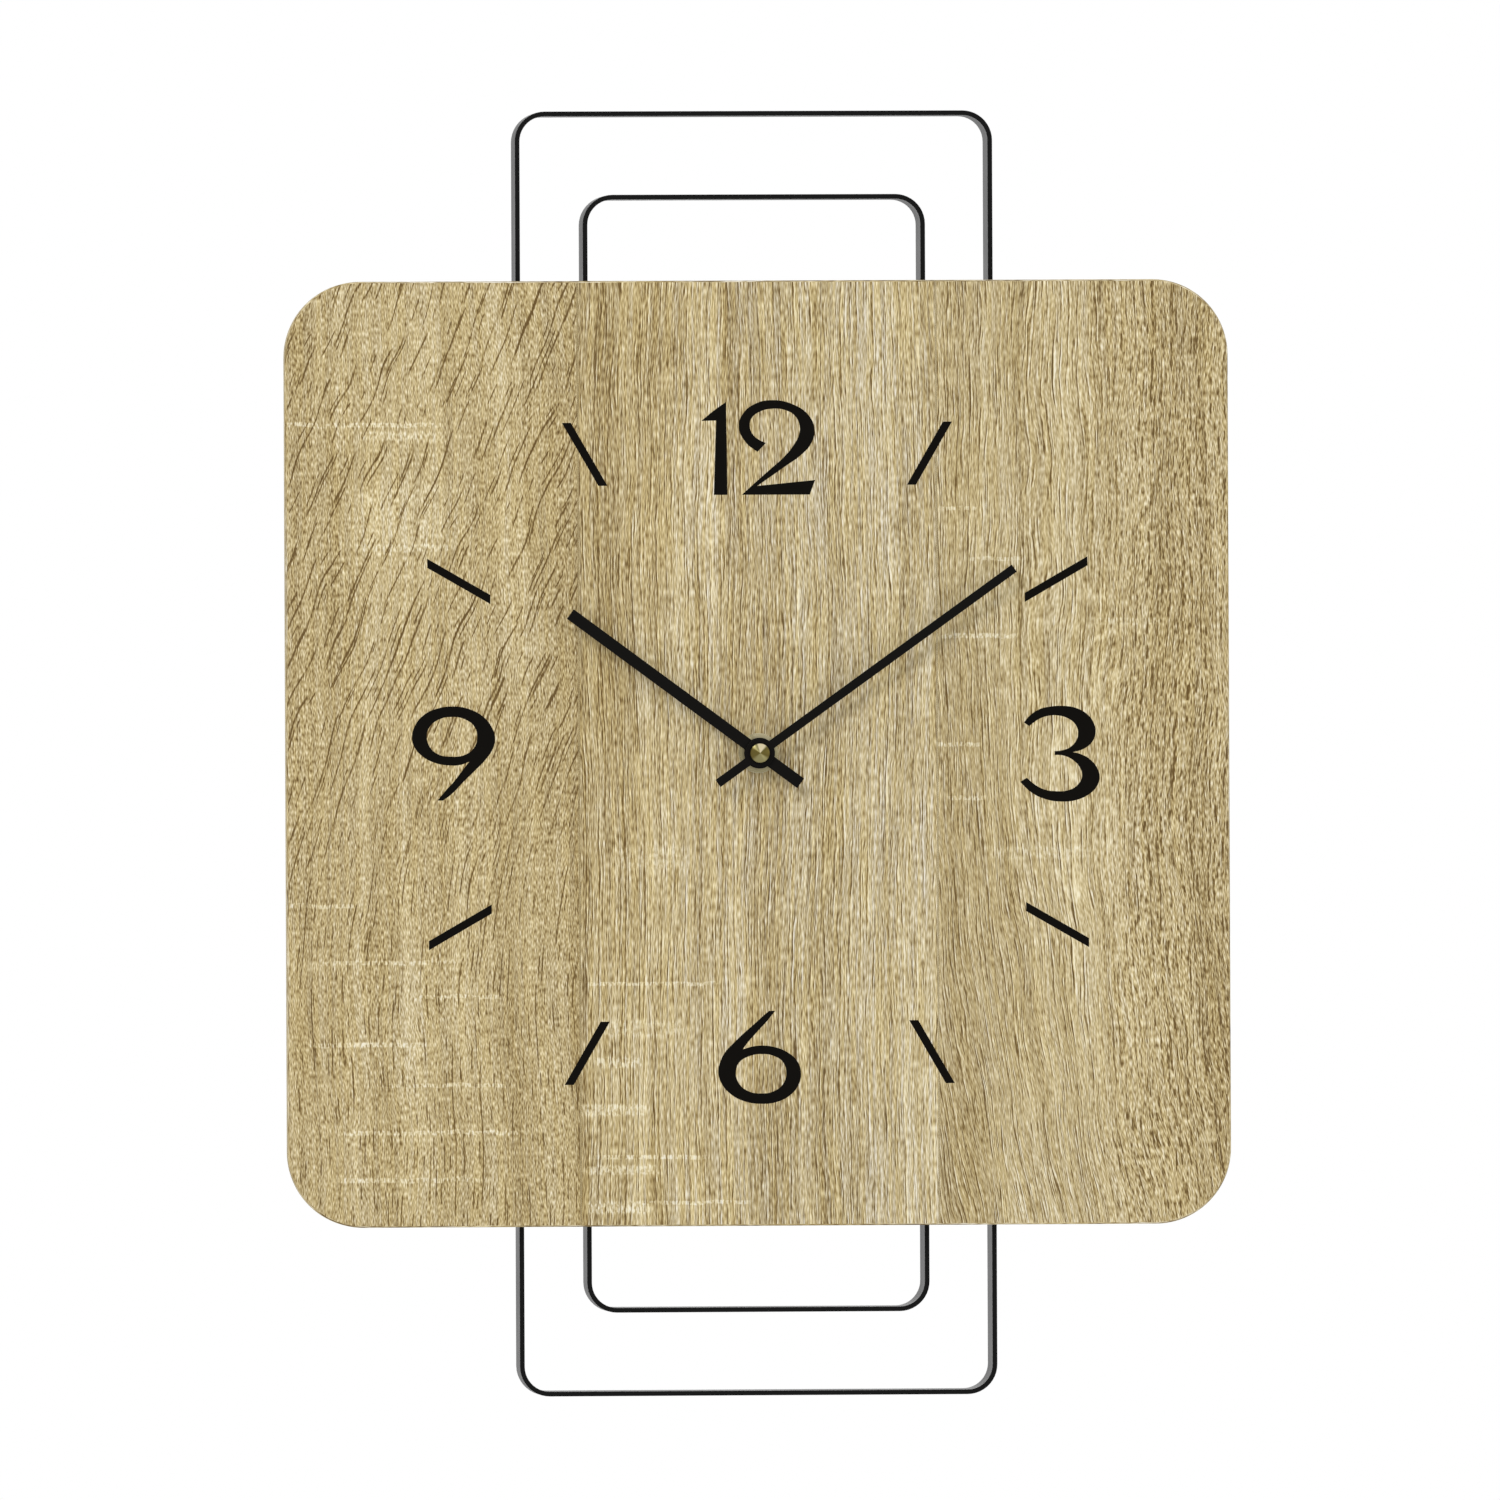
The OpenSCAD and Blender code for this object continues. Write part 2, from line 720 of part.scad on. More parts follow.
module front_housing() {
    setting_boss_depth = motion_depth - pinion_over - boss_gap;
    third_bore_depth = third_boss_depth - pivot_len - 2 * boss_gap;
    color([0.12, 0.12, 0.12]) placed() difference() {
        union() {
            chamfered_slab(
                movement_z - case_wall, case_wall, case_side, case_side, case_corner_r, 0, case_edge
            );
            layer(case_wall, case_split - case_wall) {
                case_walls();
                bay_partition();
            }
            for (axis = plate_posts) post(axis, plate_depth, plate_t);
            for (axis = board_posts) post(axis, board_depth, board_t);
            rod(motion_axis, case_wall, centre_depth - boss_gap, stud_d);
            rod(third_axis, case_wall, third_boss_depth, pivot_d + 2 * boss_wall);
            rod(setting_axis, case_wall, setting_boss_depth, stud_d + 2 * boss_wall);
        }
        layer(-cut, case_wall + 2 * cut) circle(d = thread_d);
        layer(case_split - lug_len - snug, lug_len + cut) lugs(snug);
        rod(third_axis, third_bore_depth, third_boss_depth + cut, pivot_d + 2 * run);
        rod(setting_axis, case_wall, setting_boss_depth + cut, stud_d + 2 * run);
    }
}

// Rear bearings: a boss on the cover with a blind bore for each arbor's pivot.
cover_bearings = [
    [centre_axis, seconds_depth + train_t + layer_gap],
    [third_axis, third_depth + train_t + layer_gap],
    [intermediate_axis, intermediate_depth + train_t + layer_gap],
    [rotor_axis, rotor_end_depth + layer_gap]
];

// A round-bottomed notch in the cover's lower wall, to lift the cell out by.
module finger_notch() {
    notch_r = (notch_w * notch_w / 4 + notch_depth * notch_depth) / (2 * notch_depth);
    translate([0, -case_side / 2 + case_wall / 2, movement_z - case_depth - notch_r + notch_depth])
        rotate([90, 0, 0]) cylinder(h = case_wall + 2 * snug, r = notch_r, center = true);
}

module rear_cover() {
    bay_reach = inner_half - contact_seat;
    color([0.14, 0.14, 0.14]) placed() difference() {
        union() {
            chamfered_slab(
                movement_z - case_depth, case_wall, case_side, case_side, case_corner_r, case_edge, 0
            );
            layer(case_split, cover_wall_depth - case_split) {
                case_walls();
                bay_partition();
            }
            layer(case_split - lug_len, lug_len) intersection() {
                lugs(0);
                case_walls();
            }
            for (b = cover_bearings) rod(b[0], b[1], cover_wall_depth, pivot_d + 2 * boss_wall);
            rod(setting_axis, well_depth - well_wall, cover_wall_depth, well_d + 2 * well_wall);
        }
        layer(cover_wall_depth - cut, case_wall + 2 * cut)
            translate([-bay_reach, -inner_half]) square([2 * bay_reach, bay_top_y + inner_half]);
        rod(setting_axis, well_depth, case_depth + cut, well_d);
        rod(setting_axis, well_depth - well_wall - cut, case_depth, setting_d + 2 * run);
        finger_notch();
        for (b = cover_bearings) rod(b[0], b[1] - cut, b[1] + pivot_len + boss_gap, pivot_d + 2 * run);
    }
}

module middle_plate() {
    w = plate_right_x - plate_left_x;
    h = plate_top_y - plate_bottom_y;
    color("ivory") placed() difference() {
        union() {
            layer(plate_depth, plate_t)
                translate([plate_left_x + w / 2, plate_bottom_y + h / 2])
                    rounded_rect(w, h, post_inset);
            for (axis = stator_pins) {
                rod(axis, plate_depth + plate_t, stator_depth, pin_d + 2 * bobbin_wall);
                rod(axis, stator_depth, core_depth + pinion_over, pin_d);
            }
        }
        layer(plate_depth - cut, plate_t + 2 * cut) {
            at(centre_axis) circle(d = journal_d + 2 * run);
            at(third_axis) circle(d = arbor_d + 2 * run);
            at(intermediate_axis) circle(d = pivot_d + 2 * run);
            at(rotor_axis) circle(d = pivot_d + 2 * run);
            at(setting_axis) circle(d = setting_d + 2 * run);
            for (axis = plate_posts) at(axis) circle(d = pin_d);
        }
    }
}

// The cannon pinion, its pipe to the minute hand, and the journal in the middle plate.
module minute_pipe() {
    cannon_depth = motion_depth - pinion_over;
    cannon_t = motion_t + 2 * pinion_over;
    journal_depth = plate_depth + plate_t - pinion_over;
    color("gold") placed() difference() {
        union() {
            layer(cannon_depth, cannon_t) gear(cannon_teeth, motion_module, motion_way);
            rod(centre_axis, cannon_depth + cannon_t, plate_depth - boss_gap, friction_d);
            rod(centre_axis, plate_depth - boss_gap, journal_depth, journal_d);
            rod(centre_axis, movement_z - minute_hand_z, cannon_depth, minute_pipe_d);
            rod(centre_axis, movement_z - tip_top_z, movement_z - minute_hand_z, tip_d);
        }
        rod(centre_axis, cannon_depth, journal_depth + cut, arbor_d + 2 * run);
    }
}

module hour_wheel() {
    pinion_way = motion_way + 180;
    hour_phase = mate_phase(pinion_way, motion_pinion_teeth, pinion_way, hour_teeth);
    pipe_top_depth = movement_z - hour_pipe_top_z;
    color("ivory") placed() difference() {
        union() {
            layer(hour_depth, motion_t) gear(hour_teeth, hour_module, hour_phase);
            rod(centre_axis, pipe_top_depth, hour_depth, hour_pipe_d);
        }
        rod(centre_axis, pipe_top_depth - cut, hour_depth + motion_t + cut, minute_pipe_d + 2 * run);
    }
}

motion_phase = mate_phase(motion_way, cannon_teeth, motion_way, motion_teeth);

module motion_wheel() {
    pinion_depth = hour_depth - pinion_over;
    color("ivory") placed() difference() {
        at(motion_axis) {
            layer(motion_depth, motion_t) gear(motion_teeth, motion_module, motion_phase);
            layer(pinion_depth, motion_depth - pinion_depth)
                gear(motion_pinion_teeth, hour_module, motion_way + 180);
        }
        rod(motion_axis, pinion_depth - cut, motion_depth + motion_t + cut, stud_d + 2 * run);
    }
}

// The setting knob behind the rear cover, its arbor and its pinion.
module setting_knob() {
    pinion_depth = motion_depth - pinion_over;
    pinion_end = motion_depth + motion_t + pinion_over;
    knob_end = case_depth + knob_out;
    setting_phase = mate_phase(setting_way, motion_teeth, motion_phase, setting_teeth);
    flutes = 24;
    flute_d = 0.8;
    color("firebrick") placed() {
        at(setting_axis) {
            layer(pinion_depth, pinion_end - pinion_depth)
                gear(setting_teeth, motion_module, setting_phase);
            layer(knob_depth, knob_end - knob_depth) difference() {
                circle(d = knob_d);
                for (i = [0:flutes - 1])
                    rotate(360 * i / flutes) translate([knob_d / 2, 0]) circle(d = flute_d);
            }
        }
        rod(setting_axis, case_wall + boss_gap, pinion_depth, stud_d);
        rod(setting_axis, pinion_end, knob_depth, setting_d);
    }
}

// Round openings that lighten a wheel's web, between its hub and its rim.
module web_holes(teeth, mod, hub_d, count) {
    root_r = teeth * mod / 2 - dedendum * mod;
    hole_d = (root_r - hub_d / 2) / 2;
    for (i = [0:count - 1])
        rotate(360 * i / count) translate([(root_r + hub_d / 2) / 2, 0]) circle(d = hole_d);
}

module centre_wheel() {
    hub_d = friction_d + 2 * boss_wall;
    pinion_way = third_way + 180;
    wheel_phase = mate_phase(pinion_way, third_pinion_teeth, pinion_way, centre_teeth);
    color("ivory") placed() difference() {
        union() {
            layer(centre_depth, motion_t) difference() {
                gear(centre_teeth, centre_module, wheel_phase);
                web_holes(centre_teeth, centre_module, hub_d, 5);
            }
            rod(centre_axis, centre_depth - pinion_over, plate_depth - 2 * boss_gap, hub_d);
        }
        rod(centre_axis, centre_depth - cut, plate_depth, friction_d + 2 * run);
    }
}

// An arbor with a shoulder just short of its rear bearing, and a pivot in it.
module rear_arbor(axis, from, bearing_depth) {
    rod(axis, from, bearing_depth - boss_gap, arbor_d);
    rod(axis, bearing_depth - boss_gap, bearing_depth + pivot_len, pivot_d);
}

module third_wheel() {
    wheel_phase = mate_phase(third_way, seconds_pinion_teeth, third_way, third_teeth);
    pinion_depth = centre_depth - pinion_over;
    color("ivory") placed() {
        at(third_axis) {
            layer(third_depth, train_t) difference() {
                gear(third_teeth, third_module, wheel_phase);
                web_holes(third_teeth, third_module, arbor_d + 2 * boss_wall, 4);
            }
            layer(pinion_depth, motion_t + 2 * pinion_over)
                gear(third_pinion_teeth, centre_module, third_way + 180);
        }
        rod(third_axis, third_boss_depth - pivot_len, pinion_depth, pivot_d);
        rod(third_axis, pinion_depth + motion_t + 2 * pinion_over, third_depth, arbor_d);
        rear_arbor(third_axis, third_depth + train_t, cover_bearings[1][1]);
    }
}

module seconds_wheel() {
    pinion_way = intermediate_way + 180;
    wheel_phase = mate_phase(pinion_way, intermediate_pinion_teeth, pinion_way, seconds_teeth);
    pinion_depth = third_depth - pinion_over;
    color("ivory") placed() {
        layer(seconds_depth, train_t) difference() {
            gear(seconds_teeth, seconds_module, wheel_phase);
            web_holes(seconds_teeth, seconds_module, arbor_d + 2 * boss_wall, 4);
        }
        layer(pinion_depth, seconds_depth - pinion_depth)
            gear(seconds_pinion_teeth, third_module, third_way);
        rod(centre_axis, centre_depth, pinion_depth, arbor_d);
        rear_arbor(centre_axis, seconds_depth + train_t, cover_bearings[0][1]);
    }
}

module intermediate_wheel() {
    pinion_way = rotor_way + 180;
    wheel_phase = mate_phase(pinion_way, rotor_pinion_teeth, pinion_way, intermediate_teeth);
    pinion_depth = seconds_depth - pinion_over;
    color("ivory") placed() {
        at(intermediate_axis) {
            layer(intermediate_depth, train_t) difference() {
                gear(intermediate_teeth, rotor_module, wheel_phase);
                web_holes(intermediate_teeth, rotor_module, arbor_d + 2 * boss_wall, 4);
            }
            layer(pinion_depth, intermediate_depth - pinion_depth)
                gear(intermediate_pinion_teeth, seconds_module, intermediate_way + 180);
        }
        rod(intermediate_axis, plate_depth, plate_depth + plate_t + boss_gap, pivot_d);
        rod(intermediate_axis, plate_depth + plate_t + boss_gap, pinion_depth, arbor_d);
        rear_arbor(intermediate_axis, intermediate_depth + train_t, cover_bearings[2][1]);
    }
}

module rotor_pinion() {
    pinion_depth = intermediate_depth - pinion_over;
    color("ivory") placed() {
        at(rotor_axis) layer(pinion_depth, rotor_end_depth - pinion_depth)
            gear(rotor_pinion_teeth, rotor_module, rotor_way + 180);
        rod(rotor_axis, plate_depth, plate_depth + plate_t + boss_gap, pivot_d);
        rod(rotor_axis, plate_depth + plate_t + boss_gap, pinion_depth, arbor_d);
        rear_arbor(rotor_axis, rotor_end_depth, cover_bearings[3][1]);
    }
}

module rotor_magnet() {
    color("dimgray") placed() difference() {
        rod(rotor_axis, rotor_magnet_depth, rotor_magnet_depth + magnet_h, magnet_d);
        rod(rotor_axis, rotor_magnet_depth - cut, rotor_magnet_depth + magnet_h + cut, arbor_d);
    }
}

// A soft-iron plate around the rotor, with a foot under each end of the coil core.
module stator() {
    color("lightsteelblue") placed() difference() {
        union() {
            layer(stator_depth, lamination_t) {
                at(rotor_axis) circle(d = magnet_d + 2 * (air_gap + stator_rim));
                translate([stator_leg_x, -core_half_len]) square([stator_leg_w, 2 * core_half_len]);
                for (side = [-1, 1])
                    translate([stator_leg_x, side * (core_half_len - coil_foot / 2) - coil_foot / 2 + snug])
                        square([stator_foot_x - stator_leg_x, coil_foot - 2 * snug]);
            }
        }
        rod(rotor_axis, stator_depth - cut, core_depth + cut, magnet_d + 2 * air_gap);
        for (axis = stator_pins) rod(axis, stator_depth - cut, core_depth + cut, pin_d);
        for (axis = coil_screw_axes) rod(axis, stator_depth - cut, core_depth + cut, coil_screw_d);
    }
}

coil_screw_axes = [for (side = [-1, 1]) [coil_x, side * (core_half_len - coil_foot / 2)]];

module coil_core() {
    color("lightsteelblue") placed() difference() {
        layer(core_depth, lamination_t)
            translate([coil_x, 0]) square([core_w, 2 * core_half_len], center = true);
        for (axis = coil_screw_axes)
            rod(axis, core_depth - cut, core_depth + lamination_t + cut, coil_screw_d);
    }
}

// A cylinder along the coil's middle line, centred on its length.
module coil_rod(d, len) {
    translate([coil_x, 0, movement_z - coil_axis_depth])
        rotate([90, 0, 0]) cylinder(h = len, d = d, center = true);
}

module coil_bobbin() {
    color("darkgreen") placed() difference() {
        union() {
            coil_rod(bobbin_tube_d, bobbin_len);
            for (side = [-1, 1])
                translate([0, side * (bobbin_len - flange_t) / 2, 0]) coil_rod(bobbin_d, flange_t);
        }
        translate([coil_x, 0, movement_z - coil_axis_depth])
            cube([core_w, bobbin_len + 2 * cut, lamination_t], center = true);
    }
}

module coil_winding() {
    color("orangered") placed() difference() {
        coil_rod(bobbin_d - flange_t, bobbin_len - 2 * flange_t);
        coil_rod(bobbin_tube_d, bobbin_len);
    }
}

module coil_screws() {
    head_depth = core_depth + lamination_t;
    color("silver") placed()
        for (axis = coil_screw_axes) {
            rod(axis, stator_depth, head_depth, coil_screw_d);
            rod(axis, head_depth, head_depth + coil_screw_head_h, coil_screw_head_d);
        }
}

module circuit_board() {
    color("darkgreen") placed() layer(board_depth, board_t) difference() {
        translate([board_left_x, board_bottom_y]) square([board_w, board_h]);
        for (axis = board_posts) at(axis) circle(d = pin_d);
    }
}

board_rear_z = movement_z - board_depth - board_t;
chip_x = board_left_x + board_w / 3;
crystal_x = board_left_x + board_w * 2 / 3;

// A low resin cap over the chip, the top of a larger ball.
module clock_chip() {
    cap_h = chip_d / 5;
    ball_r = (chip_d * chip_d / 4 + cap_h * cap_h) / (2 * cap_h);
    ball_z = board_rear_z - cap_h + ball_r;
    color("black") placed() intersection() {
        translate([chip_x, board_bottom_y + chip_d / 2, ball_z]) sphere(ball_r);
        layer(board_depth + board_t, cap_h) translate([chip_x - chip_d / 2, board_bottom_y - chip_d])
            square([chip_d, 3 * chip_d]);
    }
}

module quartz_crystal() {
    color("silver") placed()
        translate([crystal_x - crystal_len / 2, board_bottom_y + crystal_d, board_rear_z - crystal_d / 2])
            rotate([0, 90, 0]) cylinder(h = crystal_len, d = crystal_d);
}

// A contact: a plate at the cell's end, a strip up the side wall and a rail onto the board.
module contact(side, rail_end_x) {
    rail_depth = board_depth + board_t;
    wall_x = side > 0 ? inner_half - contact_t : -inner_half;
    rail_x = side > 0 ? rail_end_x : -inner_half;
    layer(cell_depth - contact_plate_w / 2, contact_plate_w)
        translate([wall_x, cell_y - contact_plate_w / 2]) square([contact_t, contact_plate_w]);
    layer(rail_depth, contact_strip_w) {
        translate([wall_x, cell_y]) square([contact_t, contact_rail_y - cell_y + contact_t]);
        translate([rail_x, contact_rail_y]) square([inner_half - abs(rail_end_x), contact_t]);
    }
}

// The contact for the nipple has a raised dimple in the middle of its plate.
module positive_contact() {
    dimple_d = nipple_d / 2;
    color("silver") placed() {
        contact(1, board_left_x + board_w - rail_overlap);
        translate([cell_half + run, cell_y, movement_z - cell_depth])
            rotate([0, 90, 0]) cylinder(h = inner_half - contact_t - cell_half - run, d = dimple_d);
    }
}

// The contact for the flat end has a bowed leaf that presses on the cell.
module negative_contact() {
    bow = inner_half - contact_t - cell_half - run;
    half_w = contact_plate_w / 2;
    color("silver") placed() {
        contact(-1, board_left_x + rail_overlap);
        layer(cell_depth - half_w / 2, half_w)
            translate([-inner_half + contact_t, cell_y]) polygon([
                [0, -half_w],
                [0, contact_t - half_w],
                [bow - contact_t, 0],
                [0, half_w - contact_t],
                [0, half_w],
                [bow, contact_t / 2],
                [bow, -contact_t / 2]
            ]);
    }
}

module battery_cell() {
    color("slategray") placed()
        translate([-cell_half, cell_y, movement_z - cell_depth]) rotate([0, 90, 0]) {
            cylinder(h = cell_len, d = cell_d);
            translate([0, 0, cell_len]) cylinder(h = nipple_len, d = nipple_d);
        }
}

dial_panel();
outer_band();
inner_band();
upper_crossbar();
lower_crossbar();
crossbar_screws();
hanger_plate();
rubber_washer();
dial_washer();
fixing_nut();
threaded_bushing();
hour_hand();
hour_collet();
minute_hand();
minute_nut();
front_housing();
rear_cover();
middle_plate();
minute_pipe();
hour_wheel();
motion_wheel();
setting_knob();
centre_wheel();
third_wheel();
seconds_wheel();
intermediate_wheel();
rotor_pinion();
rotor_magnet();
stator();
coil_core();
coil_bobbin();
coil_winding();
coil_screws();
circuit_board();
clock_chip();
quartz_crystal();
positive_contact();
negative_contact();
battery_cell();
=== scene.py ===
"""Looks of a wall clock: an oak-decor dial panel on two black band loops, with a quartz movement.

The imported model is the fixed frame. Each sub-assembly below refines its own nodes, gives every
one of them a finish, and hands its pieces to the bodies that they move with.

Shapes are drawn in the drawing's millimetres: x to the right, y up, z out from the wall, with the
dial centre at x = y = 0. Bench.place() then puts them into the frame, in metres.
"""

from __future__ import annotations

import json
import logging
import math
from dataclasses import dataclass
from enum import Enum
from itertools import accumulate
from typing import Any, Iterable, Sequence

import bmesh
import bpy
from bpy.types import ID, Material, Mesh, Node, NodeSocket, NodeTree, Object
from mathutils import Matrix, Vector

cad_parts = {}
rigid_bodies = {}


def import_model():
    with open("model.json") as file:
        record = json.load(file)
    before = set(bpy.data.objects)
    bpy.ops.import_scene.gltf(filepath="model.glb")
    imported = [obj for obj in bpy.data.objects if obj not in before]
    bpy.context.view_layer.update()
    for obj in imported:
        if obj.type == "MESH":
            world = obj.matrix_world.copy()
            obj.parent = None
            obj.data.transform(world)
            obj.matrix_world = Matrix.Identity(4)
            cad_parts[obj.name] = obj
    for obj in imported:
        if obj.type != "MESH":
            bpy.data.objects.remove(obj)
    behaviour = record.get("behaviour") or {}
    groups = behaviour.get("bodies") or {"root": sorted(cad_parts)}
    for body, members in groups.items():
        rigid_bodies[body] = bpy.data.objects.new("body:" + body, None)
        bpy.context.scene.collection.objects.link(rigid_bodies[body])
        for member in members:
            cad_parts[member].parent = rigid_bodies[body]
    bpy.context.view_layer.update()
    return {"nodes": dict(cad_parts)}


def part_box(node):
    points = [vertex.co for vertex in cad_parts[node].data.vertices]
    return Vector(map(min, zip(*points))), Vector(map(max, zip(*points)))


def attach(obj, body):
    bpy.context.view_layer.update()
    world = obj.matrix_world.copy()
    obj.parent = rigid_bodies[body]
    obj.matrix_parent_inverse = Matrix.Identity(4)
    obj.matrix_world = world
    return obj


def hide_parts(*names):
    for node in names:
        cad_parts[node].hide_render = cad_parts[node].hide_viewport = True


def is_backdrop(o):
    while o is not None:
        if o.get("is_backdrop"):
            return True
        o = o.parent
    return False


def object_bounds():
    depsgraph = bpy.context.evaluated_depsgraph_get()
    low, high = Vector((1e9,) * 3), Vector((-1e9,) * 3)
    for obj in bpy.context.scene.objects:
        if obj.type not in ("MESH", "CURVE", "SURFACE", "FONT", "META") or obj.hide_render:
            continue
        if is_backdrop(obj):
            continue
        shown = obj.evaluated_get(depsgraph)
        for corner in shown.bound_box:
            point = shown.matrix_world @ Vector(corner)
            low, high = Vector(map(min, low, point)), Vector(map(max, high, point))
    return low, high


LOG = logging.getLogger("wall_clock")
MM = 0.001
WHITE = (1.0, 1.0, 1.0)
Rgb = tuple[float, float, float]
Point = tuple[float, float]
Span = tuple[float, float, float, float]
# the middle board's number, and what the left-hand and the right-hand boards add to it
Zones = tuple[float, float, float]


class Axis(Enum):
    """A direction of the frame, as an index into a vector."""

    X = 0
    Y = 1
    Z = 2


# ---------------------------------------------------------------- node wiring


@dataclass(frozen=True)
class Signal:
    """What comes out of a node, with the usual arithmetic where it is a number."""

    wiring: Wiring
    socket: NodeSocket

    def do(self, operation: str, *others: Any) -> Signal:
        """This signal put through a Math node, before the node's further inputs."""
        return self.wiring.math(operation, self, *others)

    def __add__(self, other: Any) -> Signal:
        """Sum."""
        return self.do("ADD", other)

    def __sub__(self, other: Any) -> Signal:
        """Difference."""
        return self.do("SUBTRACT", other)

    def __rsub__(self, other: Any) -> Signal:
        """Difference, the other way round."""
        return self.wiring.math("SUBTRACT", other, self)

    def __mul__(self, other: Any) -> Signal:
        """Product."""
        return self.do("MULTIPLY", other)

    __radd__ = __add__
    __rmul__ = __mul__

    def rise(self, low: float, high: float) -> Signal:
        """A smooth step from 0 at low to 1 at high.

        Args:
            low: where the step starts.
            high: where it ends; below low, the step falls instead.

        Returns:
            The step.
        """
        if low > high:
            return 1 - self.rise(high, low)
        return self.wiring.put(
            "ShaderNodeMapRange", self, low, high, interpolation_type="SMOOTHSTEP"
        )

    def within(self, span: Span) -> Signal:
        """1 between a span's middle two numbers, and 0 beyond its outer two."""
        return self.rise(span[0], span[1]) * self.rise(span[3], span[2])

    def near(self, place: float, half: float, core: float) -> Signal:
        """0 from half a width off a place, and 1 within a core that is a share of it."""
        return (self - place).do("ABSOLUTE").rise(half, half * core)

    def around(self, middle: float, spread: float) -> Signal:
        """Noise around 0.5, turned into a number that spreads round a middle."""
        return self * spread + (middle - spread / 2)


class Wiring:
    """Adds nodes to a tree and links them."""

    def __init__(self, tree: NodeTree) -> None:
        """Starts on an empty tree."""
        self.tree = tree
        tree.nodes.clear()

    @classmethod
    def of(cls, owner: Material | bpy.types.World) -> Wiring:
        """The wiring of a material or a world."""
        owner.use_nodes = True
        return cls(owner.node_tree)

    @classmethod
    def of_group(
        cls, name: str, given: dict[str, str], made: dict[str, str], kind: str = "Shader"
    ) -> Wiring:
        """Makes a node group.

        Args:
            name: the group's name.
            given: its inputs, as names and kinds of socket.
            made: its outputs, likewise.
            kind: the kind of its tree.

        Returns:
            The wiring, with one input and one output node in the tree.
        """
        tree = bpy.data.node_groups.new(name, f"{kind}NodeTree")
        for sockets, way in ((given, "INPUT"), (made, "OUTPUT")):
            for label, socket in sockets.items():
                tree.interface.new_socket(label, in_out=way, socket_type=f"NodeSocket{socket}")
        wiring = cls(tree)
        wiring.add("NodeGroupInput")
        wiring.add("NodeGroupOutput")
        return wiring

    def given(self, name: str) -> Signal:
        """One of the group's inputs."""
        return Signal(self, self.tree.nodes["Group Input"].outputs[name])

    def give(self, **made: Any) -> NodeTree:
        """Feeds the group's outputs.

        Args:
            made: what feeds each of them, by name.

        Returns:
            The finished group.
        """
        for name, value in made.items():
            self.feed(self.tree.nodes["Group Output"].inputs[name], value)
        return self.tree

    def add(self, kind: str, *inputs: Any, **named: Any) -> Node:
        """Adds a node.

        Args:
            kind: its type.
            inputs: what feeds its first inputs.
            named: its settings, under names in small letters, and what feeds its other inputs,
                under names that start with a capital and have underscores for spaces.

        Returns:
            The node.
        """
        node = self.tree.nodes.new(kind)
        feeds: dict[int | str, Any] = dict(enumerate(inputs))
        for name, value in named.items():
            if name[0].isupper():
                feeds[name.replace("_", " ")] = value
            else:
                setattr(node, name, value)
        for key, value in feeds.items():
            self.feed(node.inputs[key], value)
        return node

    def put(self, kind: str, *inputs: Any, out: int | str = 0, **named: Any) -> Signal:
        """Adds a node, as add() does, and reads one of its outputs."""
        return Signal(self, self.add(kind, *inputs, **named).outputs[out])

    def feed(self, socket: NodeSocket, value: Any) -> None:
        """Gives an input a link or a plain value.

        Args:
            socket: the input.
            value: a signal to link, or a value.
        """
        if isinstance(value, Signal):
            self.tree.links.new(value.socket, socket)
        elif isinstance(value, tuple) and socket.type == "RGBA":
            socket.default_value = (*value, 1.0)
        else:
            socket.default_value = value

    def math(self, operation: str, *terms: Any) -> Signal:
        """A Math node over signals or numbers."""
        return self.put("ShaderNodeMath", *terms, operation=operation)

    def vector(self, *parts: Any) -> Signal:
        """A vector of up to three signals or numbers."""
        return self.put("ShaderNodeCombineXYZ", *parts)

    def split(self, vector: Signal) -> list[Signal]:
        """A vector's three parts."""
        return [Signal(self, out) for out in self.add("ShaderNodeSeparateXYZ", vector).outputs]

    def object_mm(self) -> list[Signal]:
        """The surface point in the frame, in millimetres."""
        place = self.put("ShaderNodeTexCoord", out="Object")
        return [part * (1 / MM) for part in self.split(place)]

    def noise(self, *place: Any, detail: float = 0.0) -> Signal:
        """Smooth noise around 0.5, one feature to a unit, with octaves of detail."""
        vector = self.vector(*place)
        return self.put("ShaderNodeTexNoise", Vector=vector, Scale=1.0, Detail=detail)

    def chance(self, number: Signal) -> Signal:
        """A random number between 0 and 1 for each whole number."""
        return self.put("ShaderNodeTexWhiteNoise", noise_dimensions="1D", W=number)

    def ramp(self, value: Signal, stops: Sequence[tuple[float, Rgb]]) -> Signal:
        """A colour for each value, mixed evenly between stops.

        Args:
            value: the value.
            stops: at least two values between 0 and 1, with their colours.

        Returns:
            The colour.
        """
        node = self.add("ShaderNodeValToRGB", value)
        elements = node.color_ramp.elements
        while len(elements) < len(stops):
            elements.new(1.0)
        for element, (position, colour) in zip(elements, stops):
            element.position = position
            element.color = (*colour, 1.0)
        return Signal(self, node.outputs[0])

    def blend(self, share: Any, first: Any, second: Any, mode: str = "MIX") -> Signal:
        """A mix of two colours.

        Args:
            share: how much of the second colour.
            first: the first colour.
            second: the second colour.
            mode: the Mix node's blend type.

        Returns:
            The mixed colour.
        """
        node = self.add("ShaderNodeMix", share, data_type="RGBA", blend_type=mode)
        for index, colour in ((6, first), (7, second)):
            self.feed(node.inputs[index], colour)
        return Signal(self, node.outputs[2])

    def bump(self, height: Signal, depth_mm: float) -> Signal:
        """A normal from a height, where a height of 1 is as deep as given."""
        return self.put("ShaderNodeBump", Strength=1.0, Distance=depth_mm * MM, Height=height)

